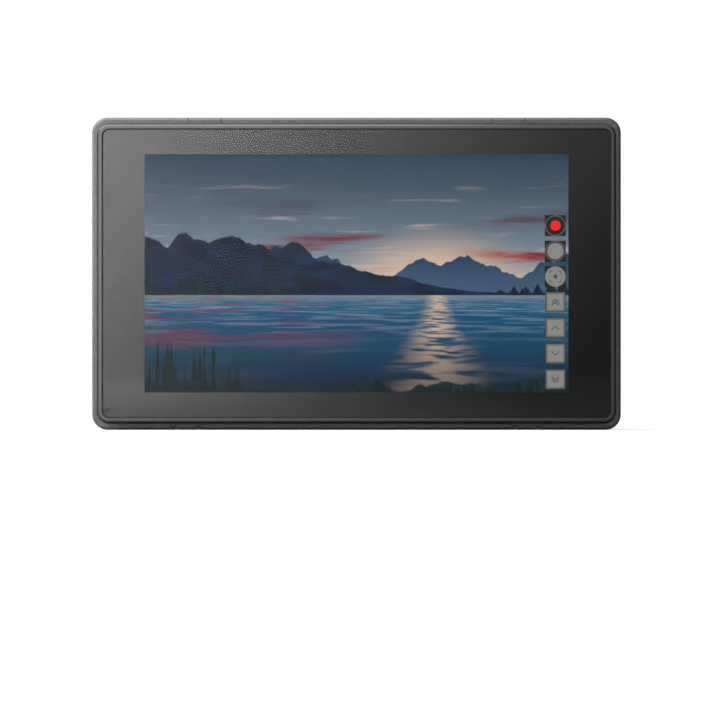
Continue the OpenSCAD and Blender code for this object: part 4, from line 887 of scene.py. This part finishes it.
class MONITOR_OT_inside(bpy.types.Operator):
    """Finishes the parts inside the housing"""
    bl_idname = "monitor.inside"
    bl_label = "Finish inside"

    def execute(self, context):
        assign(["main_board", "button_board", "return_board"],
               circuit_board())
        # Filled epoxy with a dull, slightly pitted face
        assign(["board_chips"], moulded_plastic("moulded_epoxy", linear("#1b1b1c"), 0.25 * MM,
                                                0.01 * MM, 0.5, 0.06))
        assign(["tact_switches", "return_switch", "wheel_switch"],
               metal("tinned_switch_can", linear("#c9c9c6"), 0.32, 0.4 * MM, (1, 1, 1), 0.003 * MM))
        assign(["backlight_tray", "heat_spreader"],
               metal("rolled_aluminium_sheet", linear("#cfd0d2"), 0.34, 0.8 * MM, (1, 10, 10), 0.004 * MM))
        assign(["glass_tape", "panel_foam"],
               moulded_plastic("closed_cell_foam", linear("#161617"), 0.5 * MM, 0.05 * MM, 0.8, 0.15, 0.2))
        assign(["thermal_pad"],
               moulded_plastic("silicone_pad", linear("#8fa9bd"), 0.6 * MM, 0.02 * MM, 0.6, 0.06, 0.3))
        assign(["display_flex", "button_flex", "return_flex", "power_flex"],
               film_cable())
        return {"FINISHED"}


class MONITOR_OT_stage(bpy.types.Operator):
    """Sets the camera, the pale floor, the cards and the soft studio light"""
    bl_idname = "monitor.stage"
    bl_label = "Set stage"

    def execute(self, context):
        studio = context.scene.monitor_studio
        scene = context.scene
        scene.view_settings.view_transform = "Standard"
        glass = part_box("cover_glass")[0].y
        # The photo's view lies a little beside the object's middle and well below it, in its own pixels
        pixel = studio.distance / (studio.lens / 36 * 720)
        right, down = 3.5 * pixel, 86.7 * pixel
        half_up = 0.045
        begin()
        bpy.ops.object.camera_add()
        camera = context.object
        camera.name = "front_camera"
        camera.data.lens = studio.lens
        camera.data.sensor_width = 36
        camera.data.clip_start = 0.01
        camera.data.clip_end = 50
        camera.location = (right, glass - studio.distance, half_up - down)
        camera.rotation_euler = (math.pi / 2, 0, 0)
        scene.camera = camera

        # Floor that curves up into the backdrop
        begin()
        bpy.ops.mesh.primitive_plane_add(size=9, location=(0, 0, -0.00005))
        floor = context.object
        bpy.ops.object.mode_set(mode="EDIT")
        pick(lambda edge: all(v.co.y > 4 for v in edge.verts), "EDGE")
        bpy.ops.mesh.extrude_region_move(TRANSFORM_OT_translate={"value": (0, 0, 5)})
        pick(lambda edge: all(abs(v.co.z) < 0.01 and v.co.y > 4 for v in edge.verts), "EDGE")
        bpy.ops.mesh.bevel(offset=1.5, segments=16, affect="EDGES")
        bpy.ops.object.mode_set(mode="OBJECT")
        bpy.ops.object.transform_apply(location=True)
        bpy.ops.object.shade_smooth()
        floor.name = "floor_and_backdrop"
        material, tree, place = new_material("white_seamless_paper")
        paper = add(tree, "TexNoise", {"Vector": place, "Scale": 9.0, "Detail": 3.0})
        tone = add(tree, "MapRange", (paper, 0.0, 1.0, 0.5, 0.54))
        mirrored = rays(tree, "Glossy")
        bare = add(tree, "Math", (1.0, mirrored), operation="SUBTRACT")
        grey = add(tree, "CombineXYZ", (tone, tone, tone))
        base = add(tree, "VectorMath", {0: grey, "Scale": bare}, operation="SCALE")
        # Near the object the lamps make the floor white; further off it glows by itself
        far = add(tree, "VectorMath", (place,), out="Value", operation="LENGTH")
        shown = add(tree, "MapRange", (far, 0.15, 0.6, 0.62, 1.0))
        shown = add(tree, "Math", (rays(tree, "Camera", "Transmission"), shown), **TIMES)
        # What the glass mirrors low down goes on where the card stops
        across = add(tree, "SeparateXYZ", (place,), out="X")
        share = add(tree, "MapRange", (across, -0.5, 0.5))
        gloss = add(tree, "ValToRGB", (share,), stops=(
            (0.0, 0.25), (1.0, 0.25), (0.3, 0.9), (0.382, 0.82), (0.43, 0.55), (0.478, 0.325),
            (0.526, 0.175), (0.574, 0.094), (0.6, 0.07), (0.7, 0.07)))
        inward = add(tree, "SeparateXYZ", (place,), out="Y")
        away = add(tree, "MapRange", (inward, -0.13, -0.07, 4.0, 0.3))
        gloss = add(tree, "Math", (gloss, away), **TIMES)
        gloss = add(tree, "Math", (mirrored, gloss), **TIMES)
        level = add(tree, "Math", (shown, gloss), operation="ADD")
        white = add(tree, "BsdfPrincipled", {"Base Color": base, "Roughness": 0.9, "Specular IOR Level": 0.1,
                                             "Emission Color": (1, 1, 1), "Emission Strength": level})
        add(tree, "OutputMaterial", {"Surface": white})
        floor.data.materials.append(material)

        # Card behind the camera: the glass and the satin plastics mirror its fall from left to right
        begin()
        bpy.ops.mesh.primitive_plane_add(size=1, location=(0, -2.6, 1.25), rotation=(-math.pi / 2, 0, 0))
        card = context.object
        card.scale = (5, 2.5, 1)
        bpy.ops.object.transform_apply(location=True, rotation=True, scale=True)
        bpy.ops.object.mode_set(mode="EDIT")
        bpy.ops.mesh.select_all(action="SELECT")
        bpy.ops.mesh.subdivide(number_cuts=4)
        bpy.ops.object.mode_set(mode="OBJECT")
        card.name = "light_card"

        def falling(tree, place):
            """The card's brightness falls off to the right, along a line that leans with its height"""
            across = add(tree, "SeparateXYZ", (place,), out="X")
            upward = add(tree, "SeparateXYZ", (place,), out="Z")
            lean = add(tree, "MapRange", (upward, 0.0, 0.2575, 0.2124, 0.0), clamp=False)
            slant = add(tree, "Math", (across, lean), operation="ADD")
            share = add(tree, "MapRange", (slant, -1.2, 1.2))
            fall = add(tree, "ValToRGB", (share,), stops=(
                (0.0, 0.1), (1.0, 0.02), (0.25, 0.6), (0.34, 1.0), (0.39, 0.83), (0.435, 0.665),
                (0.479, 0.457), (0.5017, 0.37), (0.546, 0.233), (0.59, 0.13), (0.65, 0.062), (0.69, 0.035)))
            return add(tree, "Math", (fall, studio.card_level), **TIMES)

        card.data.materials.append(lit_card("lit_paper_card", ("Camera",), falling))

        # Dark card at the right: it keeps the room's white out of the right side's gloss
        begin()
        bpy.ops.mesh.primitive_plane_add(size=1, location=(2.2, -0.6, 1.25), rotation=(0, math.pi / 2, 0))
        flag = context.object
        flag.scale = (2.5, 4, 1)
        bpy.ops.object.transform_apply(location=True, rotation=True, scale=True)
        flag.name = "dark_card"
        flag.data.materials.append(
            lit_card("grey_paper_card", ("Camera", "Transmission"), lambda tree, place: 0.1))

        aim = Vector((0.0, 0.0, 0.05))
        lamps = (("key_softbox", studio.key_power, 0.12, (-0.24, -0.13, 0.13)),
                 ("top_softbox", studio.top_power, 0.55, (-0.2, 0.05, 0.45)))
        for name, power, size, spot in lamps:
            begin()
            bpy.ops.object.light_add(type="AREA", location=spot)
            lamp = context.object
            lamp.name = name
            lamp.data.energy = power
            lamp.data.size = size
            lamp.rotation_euler = (aim - Vector(spot)).to_track_quat("-Z", "Y").to_euler()
            lamp.visible_camera = False

        world = bpy.data.worlds.new("studio_room")
        scene.world = world
        world.use_nodes = True
        tree = world.node_tree
        tree.nodes.clear()
        shown = rays(tree, "Camera", "Transmission", "Glossy")
        strength = add(tree, "Mix", {"Factor": shown, "A": studio.room_level, "B": 1.0})
        room = add(tree, "Background", {"Color": (1, 1, 1), "Strength": strength})
        add(tree, "OutputWorld", {"Surface": room})
        return {"FINISHED"}


OPERATORS = (MONITOR_OT_stage, MONITOR_OT_housing, MONITOR_OT_screen, MONITOR_OT_keys, MONITOR_OT_wheel,
             MONITOR_OT_threads, MONITOR_OT_sockets, MONITOR_OT_back, MONITOR_OT_inside)
GROUPS = {"monitor_finish": MonitorFinish, "monitor_signs": MonitorSigns, "monitor_thread": MonitorThread,
          "monitor_studio": MonitorStudio}


class MONITOR_PT_panel(bpy.types.Panel):
    """Lists the steps and their settings"""
    bl_label = "Field monitor"
    bl_idname = "MONITOR_PT_panel"
    bl_space_type = "VIEW_3D"
    bl_region_type = "UI"
    bl_category = "Monitor"

    def draw(self, context):
        for name, group in GROUPS.items():
            box = self.layout.box()
            for setting in group.__annotations__:
                box.prop(getattr(context.scene, name), setting)
        for operator in OPERATORS:
            self.layout.operator(operator.bl_idname)


CLASSES = (*GROUPS.values(), *OPERATORS, MONITOR_PT_panel)


def register():
    for item in CLASSES:
        bpy.utils.register_class(item)
    for name, group in GROUPS.items():
        setattr(bpy.types.Scene, name, PointerProperty(type=group))


def unregister():
    for name in GROUPS:
        delattr(bpy.types.Scene, name)
    for item in reversed(CLASSES):
        bpy.utils.unregister_class(item)


def main():
    """Registers the add-on and runs its steps in order."""
    register()
    for operator in OPERATORS:
        group, name = operator.bl_idname.split(".")
        getattr(getattr(bpy.ops, group), name)()


if __name__ == "__main__":
    main()
